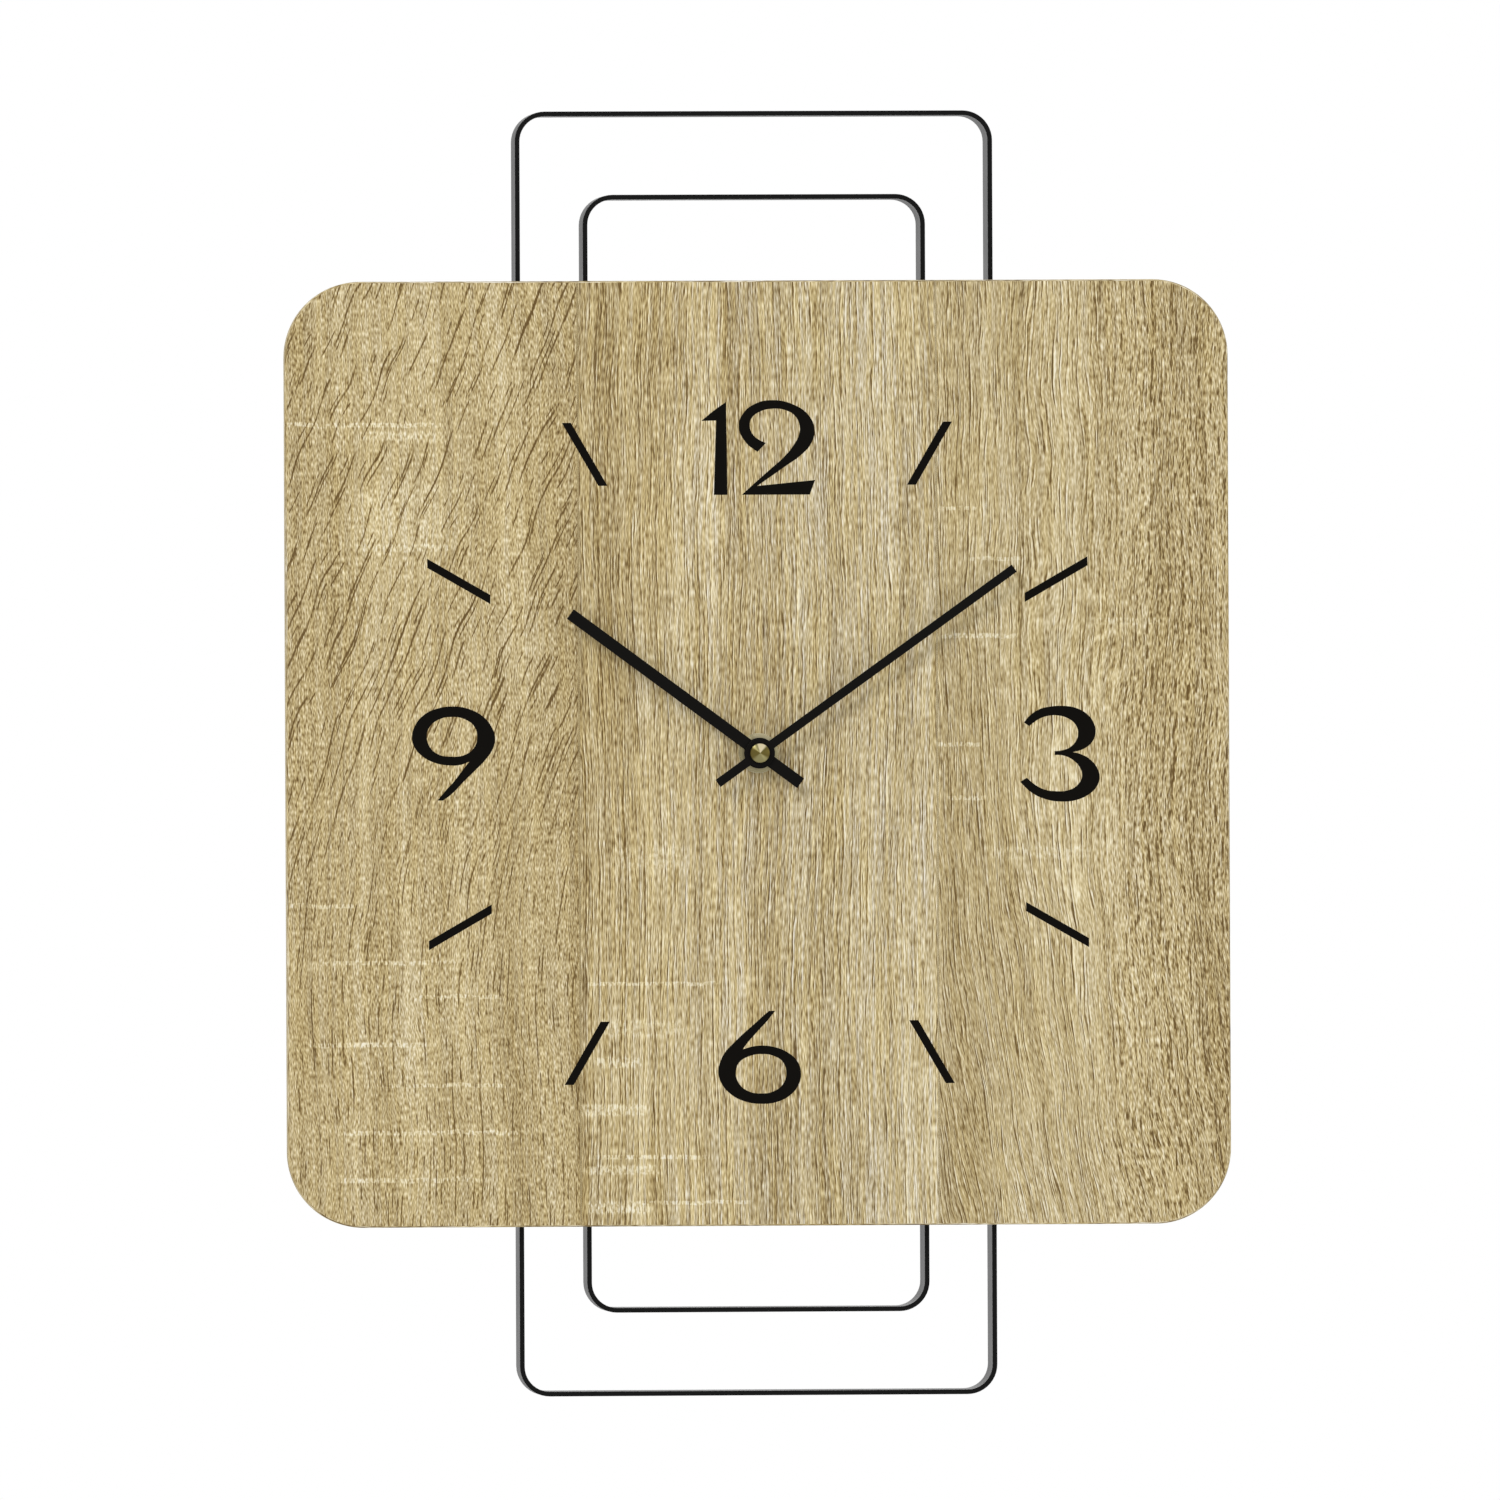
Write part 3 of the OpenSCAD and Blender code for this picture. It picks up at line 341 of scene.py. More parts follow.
    def group(self, tree: NodeTree, **given: Any) -> dict[str, Signal]:
        """A shader group's outputs by name, with its inputs given as in add()."""
        node = self.add("ShaderNodeGroup", node_tree=tree, **given)
        return {out.name: Signal(self, out) for out in node.outputs}


# ---------------------------------------------------------------- shared effects


class Effects:
    """The node groups that more than one finish uses."""

    # dust: its colour, its patches to a millimetre, where they show, and how far faces look up
    DUST = (0.42, 0.40, 0.37)
    DUST_PATCHES, PATCHES, FACING_UP = 0.04, (0.1, 0.9), (0.3, 1.0)
    # of the fine, the coarse and the slow noise: the rate against the grain size, and the detail
    GRAINS = ((1.0, 2), (0.31, 1), (0.02, 3))
    FINE = 0.65
    MOTTLES = 0.35
    RINGS = 14
    # painted highlight and shade on turned metal: where each painted wedge faces in degrees from
    # the top, its outer and inner cosine, its strength
    PAINTED_WEDGES = ((14, 0.78, 0.97, 1.0), (-24, 0.80, 0.97, 0.35), (176, 0.35, 0.85, 0.42))

    def __init__(self) -> None:
        """Builds each group once."""
        self.dust = self._dust()
        self.grain = self._grain()
        self.rolled = self._rolled()
        self.turned = self._turned()
        self.oak = OakFigure().tree()

    def _dust(self) -> NodeTree:
        """A thin film of dust on what faces up.

        Returns:
            The group, from a colour and an amount to a colour and a mask.
        """
        wiring = Wiring.of_group(
            "dust_film", {"Base": "Color", "Amount": "Float"}, {"Colour": "Color", "Mask": "Float"}
        )
        place = [part * self.DUST_PATCHES for part in wiring.object_mm()]
        patches = wiring.noise(*place, detail=4).rise(*self.PATCHES)
        normal = wiring.put("ShaderNodeNewGeometry", out="Normal")
        up = wiring.split(normal)[2].rise(*self.FACING_UP)
        mask = up * patches * wiring.given("Amount")
        return wiring.give(Colour=wiring.blend(mask, wiring.given("Base"), self.DUST), Mask=mask)

    def _grain(self) -> NodeTree:
        """The fine spark texture of a mould or a powder coat.

        Returns:
            The group, from a grain size in millimetres to a height and a slow unevenness.
        """
        wiring = Wiring.of_group(
            "fine_grain", {"Size": "Float"}, {"Height": "Float", "Unevenness": "Float"}
        )
        places = [part.do("DIVIDE", wiring.given("Size")) for part in wiring.object_mm()]
        fine, coarse, slow = (
            wiring.noise(*[place * rate for place in places], detail=detail)
            for rate, detail in self.GRAINS
        )
        return wiring.give(Height=fine * self.FINE + coarse * (1 - self.FINE), Unevenness=slow)

    def _rolled(self) -> NodeTree:
        """The fine lines of rolled or brushed sheet.

        Returns:
            The group, from a stretch of the place along each axis to a height and a mottle.
        """
        wiring = Wiring.of_group(
            "rolled_lines", {"Stretch": "Vector"}, {"Height": "Float", "Mottle": "Float"}
        )
        stretch, place = wiring.split(wiring.given("Stretch")), wiring.object_mm()
        lines = wiring.noise(*[p * s for p, s in zip(place, stretch)], detail=3)
        mottle = wiring.noise(*[p * self.MOTTLES for p in place], detail=4)
        return wiring.give(Height=lines, Mottle=mottle)

    def _turned(self) -> NodeTree:
        """Rings left by turning about an axis that points out of the dial.

        Returns:
            The group, from the axis's place in millimetres to a height and to a painted highlight:
            lighter and darker sectors painted round the axis, in place of the light that turned
            rings catch.
        """
        wiring = Wiring.of_group(
            "turned_rings_painted_sheen", {"Axis": "Vector"}, {"Height": "Float", "Wedges": "Float"}
        )
        x, _, z = wiring.object_mm()
        axis_x, _, axis_z = wiring.split(wiring.given("Axis"))
        across, up = x - axis_x, z - axis_z
        radius = (across * across + up * up).do("SQRT") + 0.01
        painted_wedges: Any = 0.0
        # painted highlight and shade: fixed lighter and darker sectors round the axis
        for clock, low, high, strength in self.PAINTED_WEDGES:
            turn = math.radians(clock)
            facing = (across * math.sin(turn) + up * math.cos(turn)).do("DIVIDE", radius)
            painted_wedges = facing.rise(low, high) * strength + painted_wedges
        return wiring.give(Height=wiring.noise(radius * self.RINGS, detail=3), Wedges=painted_wedges)


@dataclass(frozen=True)
class Grain:
    """A layer of noise round 0, with so many features to a millimetre across and along."""

    across: float
    along: float | Zones
    seed: float
    detail: int = 0
    depth: float | Zones = 1.0


@dataclass(frozen=True)
class Boards:
    """A place on the panel in millimetres, and which of its three boards it is on."""

    u: Signal
    v: Signal
    left: Signal
    right: Signal
    seed: Signal

    def zoned(self, number: float | Zones) -> Any:
        """A number that is the same on all boards, or each board's own.

        Args:
            number: one for all boards, or the middle one's and what the others add to it.

        Returns:
            The number, or a signal where boards differ.
        """
        if not isinstance(number, tuple):
            return number
        middle, left, right = number
        return self.left * left + self.right * right + middle

    def figure(self, flow: Signal, grain: Grain) -> Signal:
        """A layer that follows a flow across the boards."""
        return self._layer(flow * grain.across, grain)

    def warp(self, grain: Grain) -> Signal:
        """A layer that follows the panel instead, apart on each board."""
        return self._layer(self.u * grain.across + self.seed, grain)

    def _layer(self, across: Signal, grain: Grain) -> Signal:
        """A layer at its place across and at its full depth."""
        place = (across, self.v * self.zoned(grain.along), grain.seed)
        return (across.wiring.noise(*place, detail=grain.detail) - 0.5) * self.zoned(grain.depth)


@dataclass(frozen=True)
class Strokes:
    """A family of thin broken lines along the grain, with lengths in millimetres."""

    spacing: float
    width: float
    dash: float
    sparse: float
    seed: float
    twin: float = 0.0

    # how far lines stand off their rows' middles, how rows differ, and how softly dashes end
    JITTER, ROW_STEP, END = 0.6, 3.71, 0.07
    # the full part of a line's width, and how many widths its pale twin stands beside it
    CORE, TWIN_OFF = 0.25, 1.5

    def draw(self, across: Signal, along: Signal) -> Signal:
        """Draws the family.

        Args:
            across: the place across the grain.
            along: the place along it.

        Returns:
            Above 0 on a dark line, and below 0 on the pale twin beside it.
        """
        place = across * (1 / self.spacing) + self.seed
        row = place.do("FLOOR")
        shift = across.wiring.chance(row).around(0.5, self.JITTER)
        off = (place - row - shift) * self.spacing
        breaks = (row * self.ROW_STEP, along * (1 / self.dash), self.seed)
        present = across.wiring.noise(*breaks, detail=0.5).rise(self.sparse, self.sparse + self.END)
        dark = off.near(0.0, self.width, self.CORE)
        if not self.twin:
            return dark * present
        pale = off.near(self.width * self.TWIN_OFF, self.width, self.CORE)
        return (dark - pale * self.twin) * present


@dataclass(frozen=True)
class OakFigure:
    """The decor of three upright oak boards, drawn over a width u and a length v."""

    joint: float = 57.0
    joint_half: float = 0.3
    board_step: float = 311.0  # how far apart the boards lie in the noise
    outer: Point = (98, 124)  # where the right-hand board's dashed outer part starts
    lean: float = 0.42  # of the left-hand board's grain, above its foot
    lean_foot: float = -34.0
    lean_blend: float = 34.0
    lean_start: Point = (-45, 10)  # where the leaning lines take over from the wavy ones
    splay: float = 0.15  # of the right-hand board's grain, below its head
    splay_head: float = -30.0
    # how the grain strays off the upright, in millimetres
    wander: Grain = Grain(0.016, 0.005, 0.0, 1, (10, 8, 8))
    ripple: Grain = Grain(0.09, 0.03, 2.0, 0, (1.8, 1.8, 1.8))
    sway: Grain = Grain(0.09, 0.05, 53.0, 0, 3.6)
    weave: Grain = Grain(0.85, 0.09, 47.0, 0, 1.1)
    curl: Grain = Grain(0.05, 0.04, 41.0, 0, 24)
    lean_wander: float = 0.5  # how much of the wander and the ripple the leaning lines have
    lean_ripple: float = 0.7
    dash_slant: float = 0.04
    # the layers of the figure, and what they add to the tone
    grit: Grain = Grain(3.6, (0.44, 0.26, 0.10), 9.0)
    grit_tone: Zones = (1.02, 0.08, -0.26)
    outer_grit_tone: float = 0.60
    fibre: Grain = Grain(2.7, (0.09, 0.20, 0.10), 0.0)
    fibre_tone: Zones = (0.70, -0.10, -0.02)
    thread: Grain = Grain(1.5, (0.0108, 0.024, 0.012), 7.0, 1)
    thread_tone: float = 0.30
    vein: Grain = Grain(0.24, 0.005, 3.0, 2, 0.46)
    shade: Grain = Grain(0.1, 0.006, 73.0, 0, (0.22, -0.1, -0.1))
    cloud: Grain = Grain(0.035, 0.02, 5.0, 3, 0.13)
    line_tone: Zones = (-0.33, -0.16, -0.05)
    relief: Span = (0.3, 0.7, 0.4, -0.5)  # how high grit, fibre, thread and lines stand
    # the pale rays in the heart of the right-hand board
    ray: Grain = Grain(0.5, 0.03, 43.0, 1)
    ray_rise: Point = (0.0, 0.16)
    ray_u: Span = (82, 94, 108, 126)
    ray_v: Span = (-90, -50, 40, 75)
    ray_tone: float = 0.14
    # how light the boards are at places across the panel, before the layers
    tones: tuple[tuple[float, float], ...] = (
        (-150, 0.47), (-120, 0.50), (-92, 0.51), (-64, 0.48), (-57, 0.40), (-50, 0.42),
        (-40, 0.49), (-26, 0.54), (-4, 0.47), (20, 0.49), (40, 0.56), (56, 0.54), (60, 0.45),
        (68, 0.47), (80, 0.52), (98, 0.56), (118, 0.51), (138, 0.47), (150, 0.46),
    )
    # the colour of each tone
    colours: tuple[tuple[float, Rgb], ...] = (
        (0.00, (0.130, 0.078, 0.024)),
        (0.20, (0.250, 0.174, 0.068)),
        (0.40, (0.412, 0.318, 0.154)),
        (0.56, (0.540, 0.439, 0.244)),
        (0.74, (0.708, 0.605, 0.382)),
        (1.00, (0.872, 0.800, 0.605)),
    )
    tone_shift: float = -0.01
    fade: float = -0.0003  # of the outer edge, to a millimetre upwards
    fade_rise: Point = (90, 130)
    # tints that the colour is multiplied by, and where they show
    warm: Rgb = (1.03, 1.0, 0.87)
    cool: Rgb = (0.97, 1.0, 1.13)
    grey: Rgb = (0.95, 1.0, 1.14)
    streak: Grain = Grain(0.9, 0.018, 61.0, 1)
    streak_rise: Point = (-0.18, 0.18)
    streak_cool: Zones = (1.0, -0.5, -0.5)
    side_cool: Zones = (0.0, 0.1, 0.1)
    beside_rise: Point = (-18, -34)  # beside the left-hand joint, where streaks are warmer
    beside_warm: float = -0.35
    grey_span: Span = (-8, 14, 100, 122)
    grey_share: float = 0.18
    leaning: tuple[Strokes, ...] = (
        Strokes(7.1, 0.46, 24, 0.508, 3.1),
        Strokes(5.3, 0.39, 15, 0.514, 8.6),
        Strokes(3.4, 0.29, 8, 0.540, 63.3),
    )
    wavy: tuple[Strokes, ...] = (
        Strokes(3.1, 0.30, 17, 0.548, 14.2),
        Strokes(2.3, 0.26, 9, 0.552, 21.9),
    )
    threads: tuple[Strokes, ...] = (
        Strokes(3.3, 0.27, 52, 0.495, 31.4, 0.5),
        Strokes(1.9, 0.23, 26, 0.505, 44.8, 0.7),
        Strokes(1.1, 0.19, 13, 0.510, 77.1, 0.7),
    )
    dashes: tuple[Strokes, ...] = (
        Strokes(1.9, 0.42, 7.5, 0.510, 52.3, 0.3),
        Strokes(1.3, 0.32, 4.5, 0.525, 67.7),
    )
    # saw marks: their pale cores, how rows drift, how ragged they are and what they add
    saw_core: Point = (0.7, 0.5)
    saw_drift: float = 2.0
    saw_drift_rate: float = 0.12
    saw_seed: float = 23.0
    saw_rags: Grain = Grain(1.3, 0.55, 29.0, 1)
    saw_rags_rise: Point = (-0.08, 0.07)
    saw_tone: float = 0.32
    saw_grey: float = 0.4
    # each row's middle, half sizes and strength
    saw_rows: tuple[tuple[float, ...], ...] = (
        (-126, 104.5, 30, 0.9, 1.0), (-113, 101, 16, 1.8, 0.7), (-112, 76, 22, 12, 0.35),
        (-112, 65.5, 18, 1.5, 0.7), (-140, -48, 14, 0.9, 0.8), (-118, -66, 26, 0.9, 0.9),
        (-96, -77, 16, 0.8, 0.8), (-108, -84, 22, 22, 0.30), (-124, -92, 22, 1.0, 0.9),
        (-100, -105, 24, 0.8, 0.8), (-104, -120, 34, 0.9, 1.0), (-112, -135, 28, 1.0, 0.9),
        (-34, -33, 14, 5.0, 0.5), (-34, -73, 24, 0.8, 1.0), (-38, -87, 16, 3.5, 0.6),
        (-45, -98, 9, 2.2, 0.9), (-46, -113, 12, 2.4, 1.0), (-35, -128, 21, 0.9, 1.0),
        (-44, -132, 14, 2.0, 0.9), (-45, -144, 12, 2.6, 1.0), (-20, -142.5, 20, 0.8, 1.0),
        (64, 77.5, 7, 0.8, 0.9), (76, 61.5, 10, 0.8, 0.8), (70, 37, 14, 1.0, 1.0),
        (118, 41.5, 14, 1.4, 0.6), (64, 2.5, 8, 0.9, 0.9), (66, -14.5, 7, 0.9, 0.9),
        (90, -32, 20, 2.6, 0.5),
    )

    def tree(self) -> NodeTree:
        """Builds the figure.

        Returns:
            The group, from a place in metres to a colour and a height.
        """
        wiring = Wiring.of_group(
            "oak_figure", {"Place": "Vector"}, {"Colour": "Color", "Height": "Float"}
        )
        u, v, _ = (part * (1 / MM) for part in wiring.split(wiring.given("Place")))
        near, far = self.joint - self.joint_half, self.joint + self.joint_half
        left, right = u.rise(-near, -far), u.rise(near, far)
        boards = Boards(u, v, left, right, (right - left) * self.board_step)
        outer = right * u.rise(*self.outer)

        wander, ripple = boards.warp(self.wander), boards.warp(self.ripple)
        splay = self._soft_rise(self.splay_head - v) * self.splay
        flow = u + wander + ripple + boards.seed - splay * right

        grit, fibre, thread = (
            boards.figure(flow, grain) for grain in (self.grit, self.fibre, self.thread)
        )
        straying = boards.u + wander * self.lean_wander + ripple * self.lean_ripple
        lines = self._lines(boards, flow, straying, outer)
        saw = self._saw(boards)
        layers = (
            self._rays(boards, flow),
            lines * boards.zoned(self.line_tone),
            grit * (boards.zoned(self.grit_tone) + outer * self.outer_grit_tone),
            fibre * boards.zoned(self.fibre_tone),
            thread * self.thread_tone,
            boards.figure(flow, self.vein),
            boards.figure(flow, self.shade),
            boards.warp(self.cloud),
            saw * self.saw_tone,
        )
        value = sum(layers, start=self._tone(u, v))
        raised = zip((grit, fibre, thread, lines), self.relief)
        height = sum((layer * share for layer, share in raised), start=0.5)

        # warmer and cooler streaks, with cooler saw marks and a cooler middle
        streak = boards.figure(flow, self.streak).rise(*self.streak_rise)
        beside = (1 - left) * u.rise(*self.beside_rise) * self.beside_warm
        cool = streak * (boards.zoned(self.streak_cool) + beside) + boards.zoned(self.side_cool)
        tint = wiring.blend(cool, self.warm, self.cool)
        tinted = wiring.blend(1.0, wiring.ramp(value, self.colours), tint, "MULTIPLY")
        grey = u.within(self.grey_span) * self.grey_share + saw * self.saw_grey
        colour = wiring.blend(grey, tinted, self.grey, "MULTIPLY")
        return wiring.give(Colour=colour, Height=height)

    def _soft_rise(self, place: Signal) -> Signal:
        """The place where it is above 0, and 0 below, with a soft turn between them."""
        return ((place * place + self.lean_blend**2).do("SQRT") + place) * 0.5

    def _lines(self, boards: Boards, flow: Signal, straying: Signal, outer: Signal) -> Signal:
        """The dark lines: leaning and wavy pores on the left, then threads, then dashes.

        Args:
            boards: the panel's boards.
            flow: the place across the grain.
            straying: the place across the leaning lines before they lean.
            outer: the right-hand board's outer part.

        Returns:
            Where the lines are.
        """
        sweep = self._soft_rise(boards.v - self.lean_foot) * self.lean
        leaning = straying - sweep + boards.figure(boards.u, self.sway)
        woven = flow + boards.figure(flow, self.weave)
        reach = boards.v.rise(*self.lean_start)
        lines: Any = 0.0
        for share, strokes, across in (
            (boards.left * reach, self.leaning, leaning),
            (boards.left * (1 - reach), self.wavy, flow - sweep),
            (1 - boards.left - outer, self.threads, woven),
            (outer, self.dashes, woven - boards.v * self.dash_slant),
        ):
            drawn: Any = 0.0
            for family in strokes:
                drawn = family.draw(across, boards.v) + drawn
            lines = drawn * share + lines
        return lines

    def _saw(self, boards: Boards) -> Signal:
        """Pale ragged rows that a saw left across the grain.

        Args:
            boards: the panel's boards.

        Returns:
            Where they are, from 0 to 1.
        """
        u, v = boards.u, boards.v
        drift = u.wiring.noise(u * self.saw_drift_rate, self.saw_seed).around(0.0, self.saw_drift)
        level = v + drift
        core_u, core_v = self.saw_core
        area: Any = 0.0
        for row_u, row_v, half_u, half_v, strength in self.saw_rows:
            row = u.near(row_u, half_u, core_u) * level.near(row_v, half_v, core_v)
            area = row * strength + area
        return area * boards.figure(u, self.saw_rags).rise(*self.saw_rags_rise)

    def _tone(self, u: Signal, v: Signal) -> Signal:
        """How light the boards are across the panel, with the outer edge darker upwards.

        Args:
            u: the place across the panel.
            v: the place up the panel.

        Returns:
            The tone, as a place in the colours.
        """
        first, last = self.tones[0][0], self.tones[-1][0]
        stops = [((place - first) / (last - first), (tone,) * 3) for place, tone in self.tones]
        tone = u.wiring.ramp((u - first) * (1 / (last - first)), stops)
        return tone + u.rise(*self.fade_rise) * v * self.fade + self.tone_shift

    def _rays(self, boards: Boards, flow: Signal) -> Signal:
        """Pale rays in the heart of the right-hand board.

        Args:
            boards: the panel's boards.
            flow: the place across the grain.

        Returns:
            What they add to the tone.
        """
        heart = boards.u.within(self.ray_u) * boards.v.within(self.ray_v)
        rays = boards.figure(flow + boards.figure(boards.u, self.curl), self.ray)
        return rays.rise(*self.ray_rise) * heart * self.ray_tone


# ---------------------------------------------------------------- finishes


@dataclass(frozen=True)
class Finish:
    """What a surface is made of. Each kind of finish says what feeds its shader."""

    name: str

    def material(self, effects: Effects) -> Material:
        """The finish as a material.

        Args:
            effects: the shared node groups.

        Returns:
            The material.
        """
        material = bpy.data.materials.new(self.name)
        wiring = Wiring.of(material)
        shader = wiring.put("ShaderNodeBsdfPrincipled", **self.sockets(wiring, effects))
        wiring.add("ShaderNodeOutputMaterial", shader)
        return material

    def sockets(self, wiring: Wiring, effects: Effects) -> dict[str, Any]:
        """What feeds the Principled shader's inputs, by name."""
        raise NotImplementedError


@dataclass(frozen=True)
class OakDecor(Finish):
    """Printed oak decor with an embossed, matt surface, over the panel's own layout of it."""

    layer: str = "decor"
    roughness: float = 0.72
    relief_mm: float = 0.07
    gloss: float = 0.22
    dust: float = 0.25
    polish: float = 0.2  # how much smoother the raised parts are

    def sockets(self, wiring: Wiring, effects: Effects) -> dict[str, Any]:
        """What feeds the shader.

        Args:
            wiring: the material's wiring.
            effects: the shared node groups.

        Returns:
            The feeds by name.
        """
        layout = wiring.put("ShaderNodeUVMap", uv_map=self.layer)
        figure = wiring.group(effects.oak, Place=layout)
        dusty = wiring.group(effects.dust, Base=figure["Colour"], Amount=self.dust)
        return {
            "Base_Color": dusty["Colour"],
            "Roughness": self.roughness - figure["Height"] * self.polish,
            "Specular_IOR_Level": self.gloss,
            "Normal": wiring.bump(figure["Height"], self.relief_mm),
        }


@dataclass(frozen=True)
class Coat(Finish):
    """An opaque coat or a moulded plastic, with a fine grain."""

    colour: Rgb
    roughness: float
    grain_mm: float = 0.25
    relief_mm: float = 0.01
    gloss: float = 0.4
    dust: float = 0.3

    # how much lighter the pale spots are, where they show, and their share
    LIGHTER, SPOTS, SPOT_SHARE = 1.3, (0.3, 0.7), 0.5
    # how the roughness spreads, and what dust adds to it
    SPREAD, DUSTY = 0.12, 0.2

    def sockets(self, wiring: Wiring, effects: Effects) -> dict[str, Any]:
        """What feeds the shader.

        Args:
            wiring: the material's wiring.
            effects: the shared node groups.

        Returns:
            The feeds by name.
        """
        grain = wiring.group(effects.grain, Size=self.grain_mm)
        uneven = grain["Unevenness"]
        lighter = tuple(min(1.0, part * self.LIGHTER) for part in self.colour)
        spots = uneven.rise(*self.SPOTS) * self.SPOT_SHARE
        tinted = wiring.blend(spots, self.colour, lighter)
        dusty = wiring.group(effects.dust, Base=tinted, Amount=self.dust)
        return {
            "Base_Color": dusty["Colour"],
            "Roughness": uneven.around(self.roughness, self.SPREAD) + dusty["Mask"] * self.DUSTY,
            "Specular_IOR_Level": self.gloss,
            "Normal": wiring.bump(grain["Height"], self.relief_mm),
        }


@dataclass(frozen=True)
class SheetMetal(Finish):
    """Rolled, plated or spring sheet, with fine lines along one axis."""

    colour: Rgb
    roughness: float
    along: Axis = Axis.Z
    relief_mm: float = 0.006
    dust: float = 0.2

    # features to a millimetre along and across the lines
    ALONG, ACROSS = 0.08, 6.0
    # how much darker the mottles are, where they show, and how the roughness spreads
    DARKER, MOTTLES, SPREAD = 0.78, (0.35, 0.7), 0.3

    def sockets(self, wiring: Wiring, effects: Effects) -> dict[str, Any]:
        """What feeds the shader.

        Args:
            wiring: the material's wiring.
            effects: the shared node groups.

        Returns:
            The feeds by name.
        """
        stretch = tuple(self.ALONG if axis is self.along else self.ACROSS for axis in Axis)
        lines = wiring.group(effects.rolled, Stretch=stretch)
        darker = tuple(part * self.DARKER for part in self.colour)
        colour = wiring.blend(lines["Mottle"].rise(*self.MOTTLES), self.colour, darker)
        dusty = wiring.group(effects.dust, Base=colour, Amount=self.dust)
        return {
            "Base_Color": dusty["Colour"],
            "Metallic": 1 - dusty["Mask"],
            "Roughness": lines["Mottle"].around(self.roughness, self.SPREAD),
            "Normal": wiring.bump(lines["Height"], self.relief_mm),
        }


@dataclass(frozen=True)
class TurnedBrass(Finish):
    """Brass turned about an axis out of the dial, with cone highlights from anisotropy and painted
    ones in its colour.
    """

    # painted shade (also the colour of the random patches), plain colour and painted highlight
    painted_shade_and_patches: Rgb
    colour: Rgb
    painted_highlight: Rgb
    roughness: float
    axis_mm: tuple[float, float, float]
    relief_mm: float = 0.004

    # where the plain colour lies between the painted shade and the painted highlight, and how the
    # roughness spreads
    PLAIN, SPREAD = 0.42, 0.2
    # random darker patches in the shade colour: their size in millimetres, where they show, and
    # their share
    PATCH_MM, PATCHES, PATCH_SHARE = 0.6, (0.35, 0.7), 0.25
    # how far highlights are drawn out, and which way in turns
    DRAWN, WAY = 0.95, 0.25

    def sockets(self, wiring: Wiring, effects: Effects) -> dict[str, Any]:
        """What feeds the shader.

        Args:
            wiring: the material's wiring.
            effects: the shared node groups.

        Returns:
            The feeds by name.
        """
        rings = wiring.group(effects.turned, Axis=self.axis_mm)
        # painted highlight and shade: the colour follows the painted sectors round the axis
        metals = ((0.0, self.painted_shade_and_patches), (self.PLAIN, self.colour), (1.0, self.painted_highlight))
        painted_sheen = wiring.ramp(rings["Wedges"], metals)
        uneven = wiring.group(effects.grain, Size=self.PATCH_MM)["Unevenness"]
        patches = uneven.rise(*self.PATCHES) * self.PATCH_SHARE
        return {
            "Base_Color": wiring.blend(patches, painted_sheen, self.painted_shade_and_patches),
            "Metallic": 1.0,
            "Roughness": rings["Height"].around(self.roughness, self.SPREAD),
            "Anisotropic": self.DRAWN,
            "Anisotropic_Rotation": self.WAY,
            "Tangent": wiring.put("ShaderNodeTangent", direction_type="RADIAL", axis="Y"),
            "Normal": wiring.bump(rings["Height"], self.relief_mm),
        }


@dataclass(frozen=True)
class Laminate(Finish):
    """A circuit board: green resist over copper tracks."""

    resist: Rgb = (0.02, 0.13, 0.05)
    track: Rgb = (0.05, 0.22, 0.08)
    cell_mm: Point = (3.9, 5.0)
    tracks: int = 6  # to a cell
    track_edge: Point = (0.42, 0.50)
    track_mm: float = 0.03
    grain_mm: float = 0.3
    roughness: float = 0.3
    spread: float = 0.2
    varnish: float = 0.3

    def sockets(self, wiring: Wiring, effects: Effects) -> dict[str, Any]:
        """What feeds the shader.

        Args:
            wiring: the material's wiring.
            effects: the shared node groups.

        Returns:
            The feeds by name.
        """
        x, _, z = wiring.object_mm()
        wide, long = self.cell_mm
        place = wiring.vector(x * (1 / wide), z * (1 / long))
        cells = wiring.put("ShaderNodeTexVoronoi", distance="MANHATTAN", Vector=place, Scale=1.0)
        tracks = (cells * self.tracks).do("FRACT").rise(*self.track_edge)
        grain = wiring.group(effects.grain, Size=self.grain_mm)
        return {
            "Base_Color": wiring.blend(tracks, self.resist, self.track),
            "Roughness": grain["Height"].around(self.roughness, self.spread),
            "Coat_Weight": self.varnish,
            "Normal": wiring.bump(tracks, self.track_mm),
        }


@dataclass(frozen=True)
class Sleeve(Finish):
    """A cell's printed sleeve: plain bands of colour round its length."""

    body: Rgb = (0.045, 0.07, 0.10)
    band: Rgb = (0.52, 0.54, 0.56)
    band_mm: Span = (12.0, 12.05, 19.0, 19.05)
    band_metal: float = 0.6
    grain_mm: float = 0.9
    relief_mm: float = 0.05
    roughness: float = 0.3
    spread: float = 0.2
    varnish: float = 0.5

    def sockets(self, wiring: Wiring, effects: Effects) -> dict[str, Any]:
        """What feeds the shader.

        Args:
            wiring: the material's wiring.
            effects: the shared node groups.

        Returns:
            The feeds by name.
        """
        inside = wiring.object_mm()[0].within(self.band_mm)
        uneven = wiring.group(effects.grain, Size=self.grain_mm)["Unevenness"]
        return {
            "Base_Color": wiring.blend(inside, self.body, self.band),
            "Roughness": uneven.around(self.roughness, self.spread),
            "Metallic": inside * self.band_metal,
            "Coat_Weight": self.varnish,
            "Normal": wiring.bump(uneven, self.relief_mm),
        }


# ---------------------------------------------------------------- shapes


